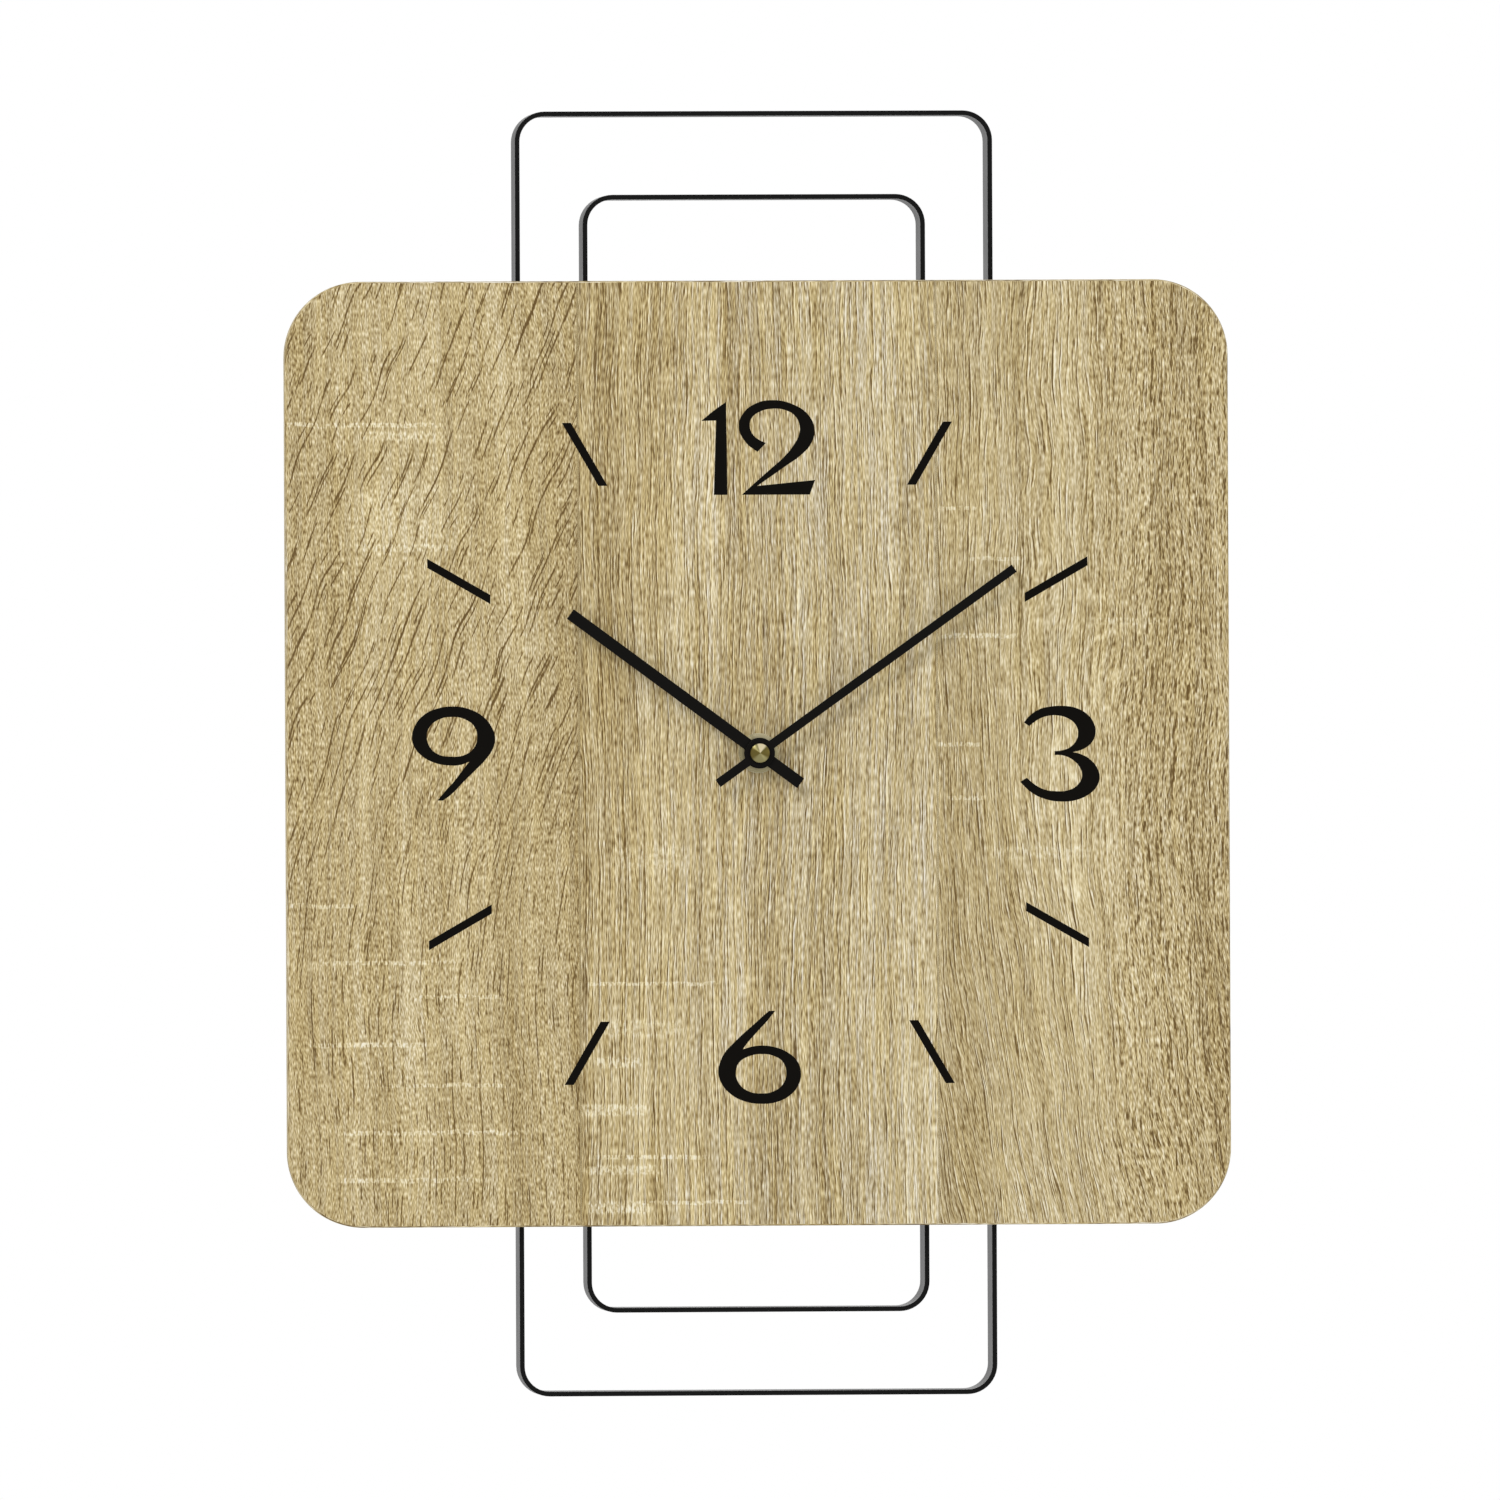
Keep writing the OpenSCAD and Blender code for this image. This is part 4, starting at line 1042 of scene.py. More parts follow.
class Shapes:
    """Ways to make meshes, in the drawing's millimetres unless a method says otherwise."""

    DRAWN_SHARP = 32.0  # edges of drawn shapes that turn by more degrees than this stay sharp
    COPY_SHARP = 40.0  # the same for copies of CAD nodes
    FLAT = 0.5  # a copy's faces that turn by fewer degrees than this become one
    DRAWN_GAP = 1e-5
    COPY_GAP_M = 2e-7

    @staticmethod
    def thing(name: str, data: ID) -> Object:
        """Puts a new object into the scene.

        Args:
            name: its name.
            data: its mesh, curve, light or camera.

        Returns:
            The object.
        """
        thing = bpy.data.objects.new(name, data)
        bpy.context.scene.collection.objects.link(thing)
        return thing

    @staticmethod
    def taken(thing: Object) -> Mesh:
        """Takes the mesh that an object's curve or modifiers make, and removes the object.

        Args:
            thing: the object.

        Returns:
            The mesh, with the object's name.
        """
        graph = bpy.context.evaluated_depsgraph_get()
        mesh = bpy.data.meshes.new_from_object(thing.evaluated_get(graph), depsgraph=graph)
        mesh.name = thing.name
        bpy.data.objects.remove(thing)
        return mesh

    @staticmethod
    def smooth(bm: bmesh.types.BMesh, name: str, sharp_deg: float) -> Mesh:
        """Smooths what is round.

        Args:
            bm: the shape, which is freed.
            name: the mesh's name.
            sharp_deg: edges that turn by more than this stay sharp.

        Returns:
            The mesh.
        """
        for face in bm.faces:
            face.smooth = True
        for edge in bm.edges:
            edge.smooth = edge.calc_face_angle(0.0) < math.radians(sharp_deg)
        mesh = bpy.data.meshes.new(name)
        bm.to_mesh(mesh)
        bm.free()
        return mesh

    @staticmethod
    def finish(bm: bmesh.types.BMesh, name: str) -> Mesh:
        """Closes a drawn shape's doubles, turns its faces outwards and smooths what is round.

        Args:
            bm: the shape, which is freed.
            name: the mesh's name.

        Returns:
            The mesh.
        """
        bmesh.ops.remove_doubles(bm, verts=bm.verts, dist=Shapes.DRAWN_GAP)
        bmesh.ops.recalc_face_normals(bm, faces=bm.faces)
        return Shapes.smooth(bm, name, Shapes.DRAWN_SHARP)

    @staticmethod
    def lathe(name: str, profile: Sequence[Point], steps: int = 64) -> Mesh:
        """Turns a closed profile about the z axis.

        Args:
            name: the mesh's name.
            profile: its corners, as radius and height; a radius of 0 is on the axis.
            steps: how many faces go round.

        Returns:
            The mesh.
        """
        bm = bmesh.new()
        rings = []
        for radius, height in profile:
            turns = [2 * math.pi * i / steps for i in range(steps if radius > 0 else 1)]
            rings.append(
                [bm.verts.new((radius * math.cos(a), radius * math.sin(a), height)) for a in turns]
            )
        for ring, after in zip(rings, rings[1:] + rings[:1]):
            if len(ring) == 1 and len(after) == 1:
                continue
            for i in range(steps):
                corners = [(ring, i), (ring, i + 1), (after, i + 1), (after, i)]
                around = dict.fromkeys(verts[place % len(verts)] for verts, place in corners)
                bm.faces.new(list(around))
        return Shapes.finish(bm, name)

    @staticmethod
    def prisms(name: str, outlines: Iterable[Sequence[Point]], low: float, high: float) -> Mesh:
        """Flat outlines raised into slabs.

        Args:
            name: the mesh's name.
            outlines: convex outlines, anticlockwise.
            low: the slabs' lower level.
            high: their upper level.

        Returns:
            The mesh.
        """
        bm = bmesh.new()
        for outline in outlines:
            foot, top = (
                [bm.verts.new((x, y, level)) for x, y in outline] for level in (low, high)
            )
            bm.faces.new(foot[::-1])
            bm.faces.new(top)
            for i in range(len(outline)):
                bm.faces.new((foot[i - 1], foot[i], top[i], top[i - 1]))
        return Shapes.finish(bm, name)

    @staticmethod
    def softened(solid: Mesh, name: str, radius_mm: float) -> Object:
        """A copy of a CAD node with rounded edges, in the frame's metres.

        Args:
            solid: the CAD node's mesh.
            name: the new piece's name.
            radius_mm: how wide the rounding is.

        Returns:
            The piece.
        """
        bm = bmesh.new()
        bm.from_mesh(solid)
        bmesh.ops.remove_doubles(bm, verts=bm.verts, dist=Shapes.COPY_GAP_M)
        flat = math.radians(Shapes.FLAT)
        bmesh.ops.dissolve_limit(bm, angle_limit=flat, verts=bm.verts, edges=bm.edges)
        mesh = Shapes.smooth(bm, name, Shapes.COPY_SHARP)
        if "custom_normal" in mesh.attributes:
            mesh.attributes.remove(mesh.attributes["custom_normal"])
        piece = Shapes.thing(name, mesh)
        bevel = piece.modifiers.new("rounding", "BEVEL")
        bevel.width = radius_mm * MM
        bevel.segments = 2
        bevel.limit_method = "ANGLE"
        bevel.angle_limit = math.radians(Shapes.COPY_SHARP)
        bevel.use_clamp_overlap = True
        bevel.harden_normals = True
        return Shapes.thing(name, Shapes.taken(piece))


@dataclass(frozen=True)
class Contour:
    """A closed outline through points, with the numbers of those that are sharp corners."""

    points: tuple[Point, ...]
    corners: tuple[int, ...] = ()


NUMERALS: dict[str, tuple[Contour, ...]] = {
    "twelve": (
        Contour(
            ((-17.7, 105.5), (-13.5, 108.9), (-9.8, 111.5), (-9.5, 82.0), (-13.8, 82.0),
             (-13.0, 105.6)),
            (0, 2, 3, 4, 5),
        ),
        Contour(
            ((2.8, 98.4), (0.1, 95.6), (-3.5, 98.5), (-5.8, 103.6), (-4.4, 107.8), (-0.5, 110.9),
             (5.1, 112.0), (11.8, 110.5), (16.5, 107.1), (18.3, 102.6), (17.2, 98.2), (14.0, 94.6),
             (9.1, 91.1), (4.2, 87.7), (0.0, 84.8), (18.4, 86.6), (16.7, 82.0), (-4.9, 82.0),
             (-0.8, 85.7), (4.2, 90.1), (8.6, 94.0), (11.5, 97.5), (13.3, 100.9), (13.6, 103.6),
             (12.0, 107.1), (9.1, 108.8), (5.4, 109.3), (1.0, 108.4), (-1.7, 106.3), (-2.3, 103.9),
             (-1.5, 101.4), (0.2, 99.7)),
            (0, 1, 14, 15, 16, 17),
        ),
    ),
    "three": (
        Contour(
            ((86.2, 8.2), (84.6, 9.4), (86.6, 11.7), (89.9, 13.7), (93.1, 14.4), (96.4, 14.6),
             (101.2, 13.9), (105.2, 11.5), (106.9, 8.9), (107.4, 6.5), (106.6, 3.6), (104.4, 1.4),
             (102.2, 0.4), (100.1, -0.1), (103.0, -0.9), (105.9, -2.7), (108.0, -5.5),
             (108.6, -8.1), (107.7, -11.0), (105.2, -13.5), (101.2, -15.3), (96.4, -15.8),
             (91.3, -15.0), (86.9, -12.9), (83.3, -9.5), (85.4, -8.2), (87.7, -10.2),
             (90.9, -11.9), (94.6, -12.5), (98.6, -12.2), (101.5, -10.6), (103.0, -7.7),
             (102.2, -4.8), (100.1, -2.6), (97.5, -1.3), (95.7, -1.0), (94.3, -1.0), (94.3, 0.2),
             (96.8, 0.5), (99.3, 1.5), (101.2, 3.6), (101.8, 5.8), (101.2, 8.3), (99.0, 10.4),
             (95.7, 11.5), (92.0, 11.4), (89.1, 10.3)),
            (0, 1, 13, 24, 25, 36, 37),
        ),
    ),
    "six": (
        Contour(
            ((5.0, -81.8), (2.4, -85.0), (-1.5, -89.2), (-4.2, -92.3), (-5.4, -94.0),
             (-2.3, -93.1), (0.8, -92.8), (4.7, -93.3), (8.7, -94.9), (11.8, -97.6),
             (13.1, -101.2), (12.4, -105.1), (10.1, -108.2), (5.8, -110.6), (0.4, -111.3),
             (-5.4, -110.3), (-9.6, -107.9), (-12.3, -104.5), (-13.2, -101.2), (-12.5, -97.7),
             (-10.8, -94.6), (-8.4, -92.1), (-5.4, -89.2), (-1.5, -85.8), (1.6, -83.0),
             (3.1, -81.8)),
            (0, 4, 25),
        ),
        Contour(
            ((-7.6, -101.2), (-6.5, -98.1), (-3.4, -96.2), (0.6, -95.5), (4.7, -96.2),
             (7.4, -98.1), (8.4, -101.2), (7.6, -104.7), (4.7, -107.2), (0.4, -108.0),
             (-3.8, -107.2), (-6.7, -104.7)),
        ),
    ),
    "nine": (
        Contour(
            ((-110.1, 5.4), (-109.0, 9.4), (-106.1, 12.7), (-101.9, 14.6), (-96.8, 15.2),
             (-91.7, 14.3), (-87.3, 11.8), (-84.6, 8.3), (-83.7, 5.0), (-84.4, 1.8), (-86.6, -1.5),
             (-90.2, -5.2), (-93.9, -8.8), (-97.5, -12.5), (-100.3, -14.6), (-102.1, -14.6),
             (-99.4, -11.4), (-96.4, -8.1), (-93.9, -4.8), (-91.9, -2.3), (-94.6, -3.3),
             (-97.9, -3.5), (-103.0, -2.6), (-107.0, -0.4), (-109.4, 2.5)),
            (14, 15, 19),
        ),
        Contour(
            ((-105.4, 5.8), (-104.5, 8.7), (-101.5, 11.1), (-97.5, 11.9), (-93.2, 11.1),
             (-90.2, 8.7), (-89.4, 5.4), (-90.4, 2.1), (-93.2, -0.1), (-97.9, -0.7),
             (-101.9, 0.1), (-104.5, 2.5)),
        ),
    ),
}


# ---------------------------------------------------------------- repeated pieces


class Repeats:
    """Geometry Nodes trees for what repeats, and the pieces made with them."""

    RIB_SIDES = 6
    WIRE_SIDES = 6
    TURN_STEPS = 28

    @staticmethod
    def _tree(name: str, given: dict[str, str]) -> Wiring:
        """A new tree with inputs, a material among them, and one geometry output."""
        inputs = given | {"Material": "Material"}
        return Wiring.of_group(name, inputs, {"Geometry": "Geometry"}, "Geometry")

    @staticmethod
    def _end(wiring: Wiring, geometry: Signal) -> NodeTree:
        """Ends a tree in Realize Instances and Set Material.

        Args:
            wiring: the tree's wiring.
            geometry: what the tree makes.

        Returns:
            The finished tree.
        """
        real = wiring.put("GeometryNodeRealizeInstances", Geometry=geometry)
        finish = wiring.given("Material")
        painted = wiring.put("GeometryNodeSetMaterial", Geometry=real, Material=finish)
        return wiring.give(Geometry=painted)

    @staticmethod
    def rim_ribs() -> NodeTree:
        """Small ribs round a circle, such as a knurl.

        Returns:
            The tree, with the ribs standing along z.
        """
        sizes = {"Count": "Int", "Radius": "Float", "Rib Width": "Float", "Height": "Float"}
        wiring = Repeats._tree("rim_ribs", sizes)
        count, radius, width, height = (wiring.given(name) for name in sizes)
        circle = wiring.put("GeometryNodeMeshCircle", Vertices=count, Radius=radius)
        rib = wiring.put(
            "GeometryNodeMeshCone",
            fill_type="NGON",
            Vertices=Repeats.RIB_SIDES,
            Radius_Top=width,
            Radius_Bottom=width,
            Depth=height,
        )
        ribs = wiring.put("GeometryNodeInstanceOnPoints", Points=circle, Instance=rib)
        return Repeats._end(wiring, ribs)

    @staticmethod
    def helix() -> NodeTree:
        """A round wire wound about z.

        Returns:
            The tree.
        """
        sizes = dict.fromkeys(("Turns", "Radius", "Length", "Wire Radius"), "Float")
        wiring = Repeats._tree("wound_wire", sizes)
        turns, radius, length, wire_radius = (wiring.given(name) for name in sizes)
        spiral = wiring.put(
            "GeometryNodeCurveSpiral",
            Resolution=Repeats.TURN_STEPS,
            Rotations=turns,
            Start_Radius=radius,
            End_Radius=radius,
            Height=length,
        )
        wire = wiring.put(
            "GeometryNodeCurvePrimitiveCircle", Resolution=Repeats.WIRE_SIDES, Radius=wire_radius
        )
        swept = wiring.put(
            "GeometryNodeCurveToMesh", Curve=spiral, Profile_Curve=wire, Fill_Caps=True
        )
        return Repeats._end(wiring, swept)

    @staticmethod
    def mesh(name: str, tree: NodeTree, material: Material, **sizes: float) -> Mesh:
        """Runs a tree once.

        Args:
            name: the mesh's name.
            tree: the tree.
            material: its material.
            sizes: values for its inputs, with underscores for spaces.

        Returns:
            What it makes, at the origin.
        """
        piece = Shapes.thing(name, bpy.data.meshes.new("empty"))
        modifier = piece.modifiers.new("repeats", "NODES")
        modifier.node_group = tree
        values = {key.replace("_", " "): value for key, value in sizes.items()}
        values["Material"] = material
        for item in tree.interface.items_tree:
            if item.in_out == "INPUT":
                modifier[item.identifier] = values[item.name]
        return Shapes.taken(piece)


# ---------------------------------------------------------------- sub-assemblies


class Body(Enum):
    """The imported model's bodies that pieces ride on."""

    FRAME = "clock_frame"
    MINUTE = "minute_works"
    HOUR = "hour_works"
    BATTERY = "battery"


class Bench:
    """Where pieces get their finish and are handed to their bodies."""

    def __init__(self, nodes: dict[str, Object]) -> None:
        """Sets out the shared effects and the drawing's place in the frame.

        Args:
            nodes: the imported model's nodes by name.
        """
        self.nodes = nodes
        self.effects = Effects()
        self._materials: dict[Finish, Material] = {}
        panel_low, panel_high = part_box("dial_panel")
        wall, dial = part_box("outer_band")[1].y, (panel_low.z + panel_high.z) / 2
        self._placing = Matrix(((MM, 0, 0, 0), (0, 0, -MM, wall), (0, MM, 0, dial), (0, 0, 0, 1)))

    def place(self, mesh: Mesh) -> Object:
        """Puts a mesh that was drawn in millimetres into the frame, as an object in metres."""
        mesh.transform(self._placing)
        return Shapes.thing(mesh.name, mesh)

    def material(self, finish: Finish) -> Material:
        """A finish's material, which is built once.

        Args:
            finish: the finish.

        Returns:
            The material.
        """
        if finish not in self._materials:
            self._materials[finish] = finish.material(self.effects)
        return self._materials[finish]

    def dress(self, finish: Finish, *nodes: str) -> None:
        """Gives CAD nodes their finish.

        Args:
            finish: the finish.
            nodes: the nodes' names.
        """
        material = self.material(finish)
        for node in nodes:
            materials = self.nodes[node].data.materials
            if not materials:
                materials.append(material)
            for index in range(len(materials)):
                materials[index] = material
            LOG.info("node %s: %s", node, finish.name)

    def hand_over(
        self, piece: Object | Mesh, body: Body, slot: str, finish: Finish, *stands_for: str
    ) -> None:
        """Gives a piece its finish and its body.

        Args:
            piece: the piece, or its mesh in the drawing's millimetres.
            body: the body that it moves with.
            slot: the record's material slot; not used.
            finish: its finish.
            stands_for: the CAD nodes that it replaces.
        """
        if isinstance(piece, Mesh):
            piece = self.place(piece)
        piece.data.materials.clear()
        piece.data.materials.append(self.material(finish))
        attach(piece, body.value)
        if stands_for:
            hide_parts(*stands_for)
        self.dress(finish, *stands_for)
        LOG.info("piece %s on %s: %s", piece.name, body.value, finish.name)

    def soften(
        self, node: str, name: str, radius_mm: float, body: Body, slot: str, finish: Finish
    ) -> None:
        """Replaces a CAD node by a copy with rounded edges.

        Args:
            node: the CAD node.
            name: the copy's name.
            radius_mm: how wide the rounding is.
            body: the body that it moves with.
            slot: the record's material slot.
            finish: its finish.
        """
        piece = Shapes.softened(self.nodes[node].data, name, radius_mm)
        self.hand_over(piece, body, slot, finish, node)


@dataclass(frozen=True)
class SubAssembly:
    """A part of the clock, with the bench that it is dressed at."""

    bench: Bench


@dataclass(frozen=True)
class DialPanel(SubAssembly):
    """The square board with rounded corners, covered in oak decor."""

    side: float = 300.0
    corner: float = 24.0
    back: float = 22.0
    front: float = 30.0
    edge: float = 0.5
    hole: float = 8.6
    corner_steps: int = 24
    edge_steps: int = 3
    edge_decor_u: float = 20.0
    back_decor_v: float = -420.0
    finish: OakDecor = OakDecor("oak_decor_finish")

    def build(self) -> None:
        """Builds the board and dresses it."""
        self.bench.hand_over(self._board(), Body.FRAME, "oak_decor", self.finish, "dial_panel")

    def _outline(self, inset: float) -> list[tuple[float, float, float]]:
        """The outline, drawn in from the edge.

        Args:
            inset: how far in.

        Returns:
            Points anticlockwise from the right-hand side, with their distance along the edge.
        """
        radius = self.corner - inset
        middle = self.side / 2 - self.corner
        arc = self.corner * math.pi / 2
        points = []
        for quarter, (sx, sy) in enumerate(((1, 1), (-1, 1), (-1, -1), (1, -1))):
            for step in range(self.corner_steps + 1):
                share = step / self.corner_steps
                angle = (quarter + share) * math.pi / 2
                x = sx * middle + radius * math.cos(angle)
                y = sy * middle + radius * math.sin(angle)
                points.append((x, y, quarter * (2 * middle + arc) + share * arc))
        return points

    def _rings(self) -> list[Point]:
        """The rounded edge.

        Returns:
            Insets and levels, from the front face to the back face.
        """
        turns = [math.pi / 2 * k / self.edge_steps for k in range(self.edge_steps + 1)]
        front = [
            (self.edge * (1 - math.sin(a)), self.front - self.edge * (1 - math.cos(a)))
            for a in turns
        ]
        return front + [(inset, self.front + self.back - level) for inset, level in reversed(front)]

    def _board(self) -> Mesh:
        """The board as rings of faces: front, rounded edge, back and the hole's wall.

        Returns:
            The mesh, with the decor's layout: upright on both faces, and along the edge.
        """
        bm = bmesh.new()
        layout = bm.loops.layers.uv.new(self.finish.layer)
        profile = self._rings()
        outline = self._outline(profile[0][0])
        hole = [(x / math.hypot(x, y), y / math.hypot(x, y)) for x, y, _ in outline]
        hole = [(x * self.hole / 2, y * self.hole / 2) for x, y in hole]
        rows = [[bm.verts.new((x, y, self.front)) for x, y in hole]]
        for inset, level in profile:
            rows.append([bm.verts.new((x, y, level)) for x, y, _ in self._outline(inset)])
        rows.append([bm.verts.new((x, y, self.back)) for x, y in hole])
        alongs = [along for _, _, along in outline]
        alongs.append(4 * (self.side - 2 * self.corner) + 2 * math.pi * self.corner)
        steps = (math.dist(here, there) for here, there in zip(profile, profile[1:]))
        depths = list(accumulate(steps, initial=self.edge_decor_u))
        for row, (here, there) in enumerate(zip(rows, rows[1:] + rows[:1])):
            for i in range(len(outline)):
                j = (i + 1) % len(outline)
                face = bm.faces.new((here[i], there[i], there[j], here[j]))
                edge = ((row - 1, i), (row, i), (row, i + 1), (row - 1, i + 1))
                for loop, (ring, end) in zip(face.loops, edge):
                    x, y, _ = loop.vert.co
                    if row in (0, len(profile) + 1):
                        place = (x, y)
                    elif row == len(profile):
                        place = (-x, y + self.back_decor_v)
                    else:
                        place = (depths[ring], alongs[end])
                    loop[layout].uv = (place[0] * MM, place[1] * MM)
        return Shapes.finish(bm, "panel_board")


@dataclass(frozen=True)
class DialPrint(SubAssembly):
    """The hour marks and the four numerals, printed in black on the panel."""

    level: float = 30.0
    ink: float = 0.03
    sunk: float = 0.01
    mark_width: float = 2.5
    mark_from: float = 85.0
    mark_to: float = 105.0
    mark_hours: tuple[int, ...] = (1, 2, 4, 5, 7, 8, 10, 11)
    curve_steps: int = 6
    finish: Finish = Coat("print_ink", (0.0040, 0.0034, 0.0026), 0.55, 0.2, 0.004, 0.03, 0.02)

    def build(self) -> None:
        """Prints the marks and the numerals."""
        marks = [self._mark(hour) for hour in self.mark_hours]
        top = self.level + self.ink
        meshes = [Shapes.prisms("hour_marks", marks, self.level - self.sunk, top)]
        meshes += [self._numeral(f"numeral_{name}", NUMERALS[name]) for name in NUMERALS]
        for mesh in meshes:
            self.bench.hand_over(mesh, Body.FRAME, "black_hand", self.finish)

    def _mark(self, hour: int) -> list[Point]:
        """A radial bar that ends on two squares round the dial centre.

        Args:
            hour: the hour that it stands at.

        Returns:
            Its four corners, anticlockwise.
        """
        angle = math.radians(30 * hour)
        way = (math.sin(angle), math.cos(angle))
        beside = (math.cos(angle), -math.sin(angle))
        main = 0 if abs(way[0]) > abs(way[1]) else 1
        corners = []
        for reach, sides in ((self.mark_from, (1, -1)), (self.mark_to, (-1, 1))):
            for side in sides:
                off = side * self.mark_width / 2
                level = math.copysign(reach, way[main])
                along = (level - off * beside[main]) / way[main]
                corners.append((along * way[0] + off * beside[0], along * way[1] + off * beside[1]))
        return corners[::-1]

    def _numeral(self, name: str, contours: Sequence[Contour]) -> Mesh:
        """A numeral from its contours.

        Args:
            name: the mesh's name.
            contours: its outlines and counters.

        Returns:
            The mesh.
        """
        curve = bpy.data.curves.new(name, "CURVE")
        curve.dimensions = "2D"
        curve.fill_mode = "BOTH"
        curve.resolution_u = self.curve_steps
        curve.extrude = (self.ink + self.sunk) / 2
        for contour in contours:
            spline = curve.splines.new("BEZIER")
            spline.bezier_points.add(len(contour.points) - 1)
            spline.use_cyclic_u = True
            for index, (x, y) in enumerate(contour.points):
                knot = spline.bezier_points[index]
                knot.co = (x, y, 0)
                kind = "VECTOR" if index in contour.corners else "AUTO"
                knot.handle_left_type = knot.handle_right_type = kind
        mesh = Shapes.taken(Shapes.thing(name, curve))
        mesh.transform(Matrix.Translation((0, 0, self.level + (self.ink - self.sunk) / 2)))
        bm = bmesh.new()
        bm.from_mesh(mesh)
        bpy.data.meshes.remove(mesh)
        return Shapes.finish(bm, name)


@dataclass(frozen=True)
class BandFrame(SubAssembly):
    """The two band loops, the crossbars that join them, their screws and the hanger plate."""

    strip_edge: float = 0.14
    bar_edge: float = 0.3
    plate_edge: float = 0.17
    band: Finish = Coat("black_powder_coat", (0.0040,) * 3, 0.36, 0.5, 0.0015, 0.08, 0.04)
    bar: Finish = Coat("black_bar_coat", (0.006,) * 3, 0.34, 0.5, 0.006, 0.12, 0.05)
    screw: Finish = SheetMetal("zinc_screw", (0.62, 0.62, 0.64), 0.34)
    plate: Finish = SheetMetal("zinc_sheet", (0.68, 0.68, 0.69), 0.38)

    def build(self) -> None:
        """Rounds the strips', bars' and plate's edges and dresses them."""
        for node, name, radius, slot, finish in (
            ("outer_band", "outer_loop", self.strip_edge, "black_band", self.band),
            ("inner_band", "inner_loop", self.strip_edge, "black_band", self.band),
            ("upper_crossbar", "upper_bar", self.bar_edge, "black_bar", self.bar),
            ("lower_crossbar", "lower_bar", self.bar_edge, "black_bar", self.bar),
            ("hanger_plate", "hanger", self.plate_edge, "zinc_steel", self.plate),
        ):
            self.bench.soften(node, name, radius, Body.FRAME, slot, finish)
        self.bench.dress(self.screw, "crossbar_screws")


@dataclass(frozen=True)
class Hub(SubAssembly):
    """The hands and the fixings in the middle of the dial."""

    hand_edge: float = 0.12
    nut_low: float = 30.6
    nut_high: float = 32.6
    nut_radius: float = 5.95
    ribs: int = 56
    rib_radius: float = 0.3
    cap_radius: float = 3.05
    cap_low: float = 36.4
    cap_high: float = 38.3
    cap_cone: float = 0.22
    cap_foot: float = 0.15
    cap_round: Point = (0.25, 0.08)
    cap_break: float = 1.6
    cap_tip: Point = (0.25, 0.01)
    cap_steps: int = 96
    hand: Finish = Coat("hand_lacquer", (0.0040, 0.0036, 0.0030), 0.42, 0.5, 0.003, 0.05, 0.05)
    # the cap's and the nut's colours: painted shade, plain brass and painted highlight
    cap: Finish = TurnedBrass(
        "pale_turned_brass", (0.130, 0.102, 0.028), (0.30, 0.27, 0.125), (0.80, 0.70, 0.45), 0.34,
        (0, 0, -37.5),
    )
    nut: Finish = TurnedBrass(
        "nut_turned_brass", (0.34, 0.30, 0.17), (0.42, 0.37, 0.22), (0.56, 0.50, 0.32), 0.36,
        (0, 0, -37.5),
    )
    washer: Finish = SheetMetal("washer_sheet_brass", (0.60, 0.55, 0.38), 0.4)
    rubber: Finish = Coat("black_rubber", (0.03, 0.03, 0.03), 0.75, gloss=0.2, grain_mm=0.5)

    def build(self) -> None:
        """Builds the hands and the knurl, and dresses the hub."""
        for node, body in (("hour_hand", Body.HOUR), ("minute_hand", Body.MINUTE)):
            self.bench.soften(node, f"{node}_blade", self.hand_edge, body, "black_hand", self.hand)
        self.bench.hand_over(self._cap(), Body.MINUTE, "cap_brass", self.cap, "minute_nut")
        ribs = Repeats.mesh(
            "nut_knurl",
            Repeats.rim_ribs(),
            self.bench.material(self.nut),
            Count=self.ribs,
            Radius=self.nut_radius,
            Rib_Width=self.rib_radius,
            Height=self.nut_high - self.nut_low,
        )
        ribs.transform(Matrix.Translation((0, 0, self.nut_low)))
        self.bench.hand_over(ribs, Body.FRAME, "nut_brass", self.nut)
        self.bench.dress(self.nut, "fixing_nut", "threaded_bushing", "hour_collet", "minute_pipe")
        self.bench.dress(self.washer, "dial_washer")
        self.bench.dress(self.rubber, "rubber_washer")

    def _cap(self) -> Mesh:
        """The turned cap over the minute hand, with a shallow cone for a front.

        Returns:
            The mesh.
        """
        rim = self.cap_high - self.cap_cone
        fillet, inner = self.cap_round
        tip, drop = self.cap_tip
        profile = [
            (0.0, self.cap_low),
            (self.cap_radius - self.cap_foot, self.cap_low),
            (self.cap_radius, self.cap_low + self.cap_foot),
            (self.cap_radius, rim - fillet),
            (self.cap_radius - inner, rim - inner),
            (self.cap_radius - fillet, rim),
            (self.cap_break, rim + self.cap_cone / 2),
            (tip, self.cap_high - drop),
            (0.0, self.cap_high),
        ]
        return Shapes.lathe("hub_cap", profile, self.cap_steps)


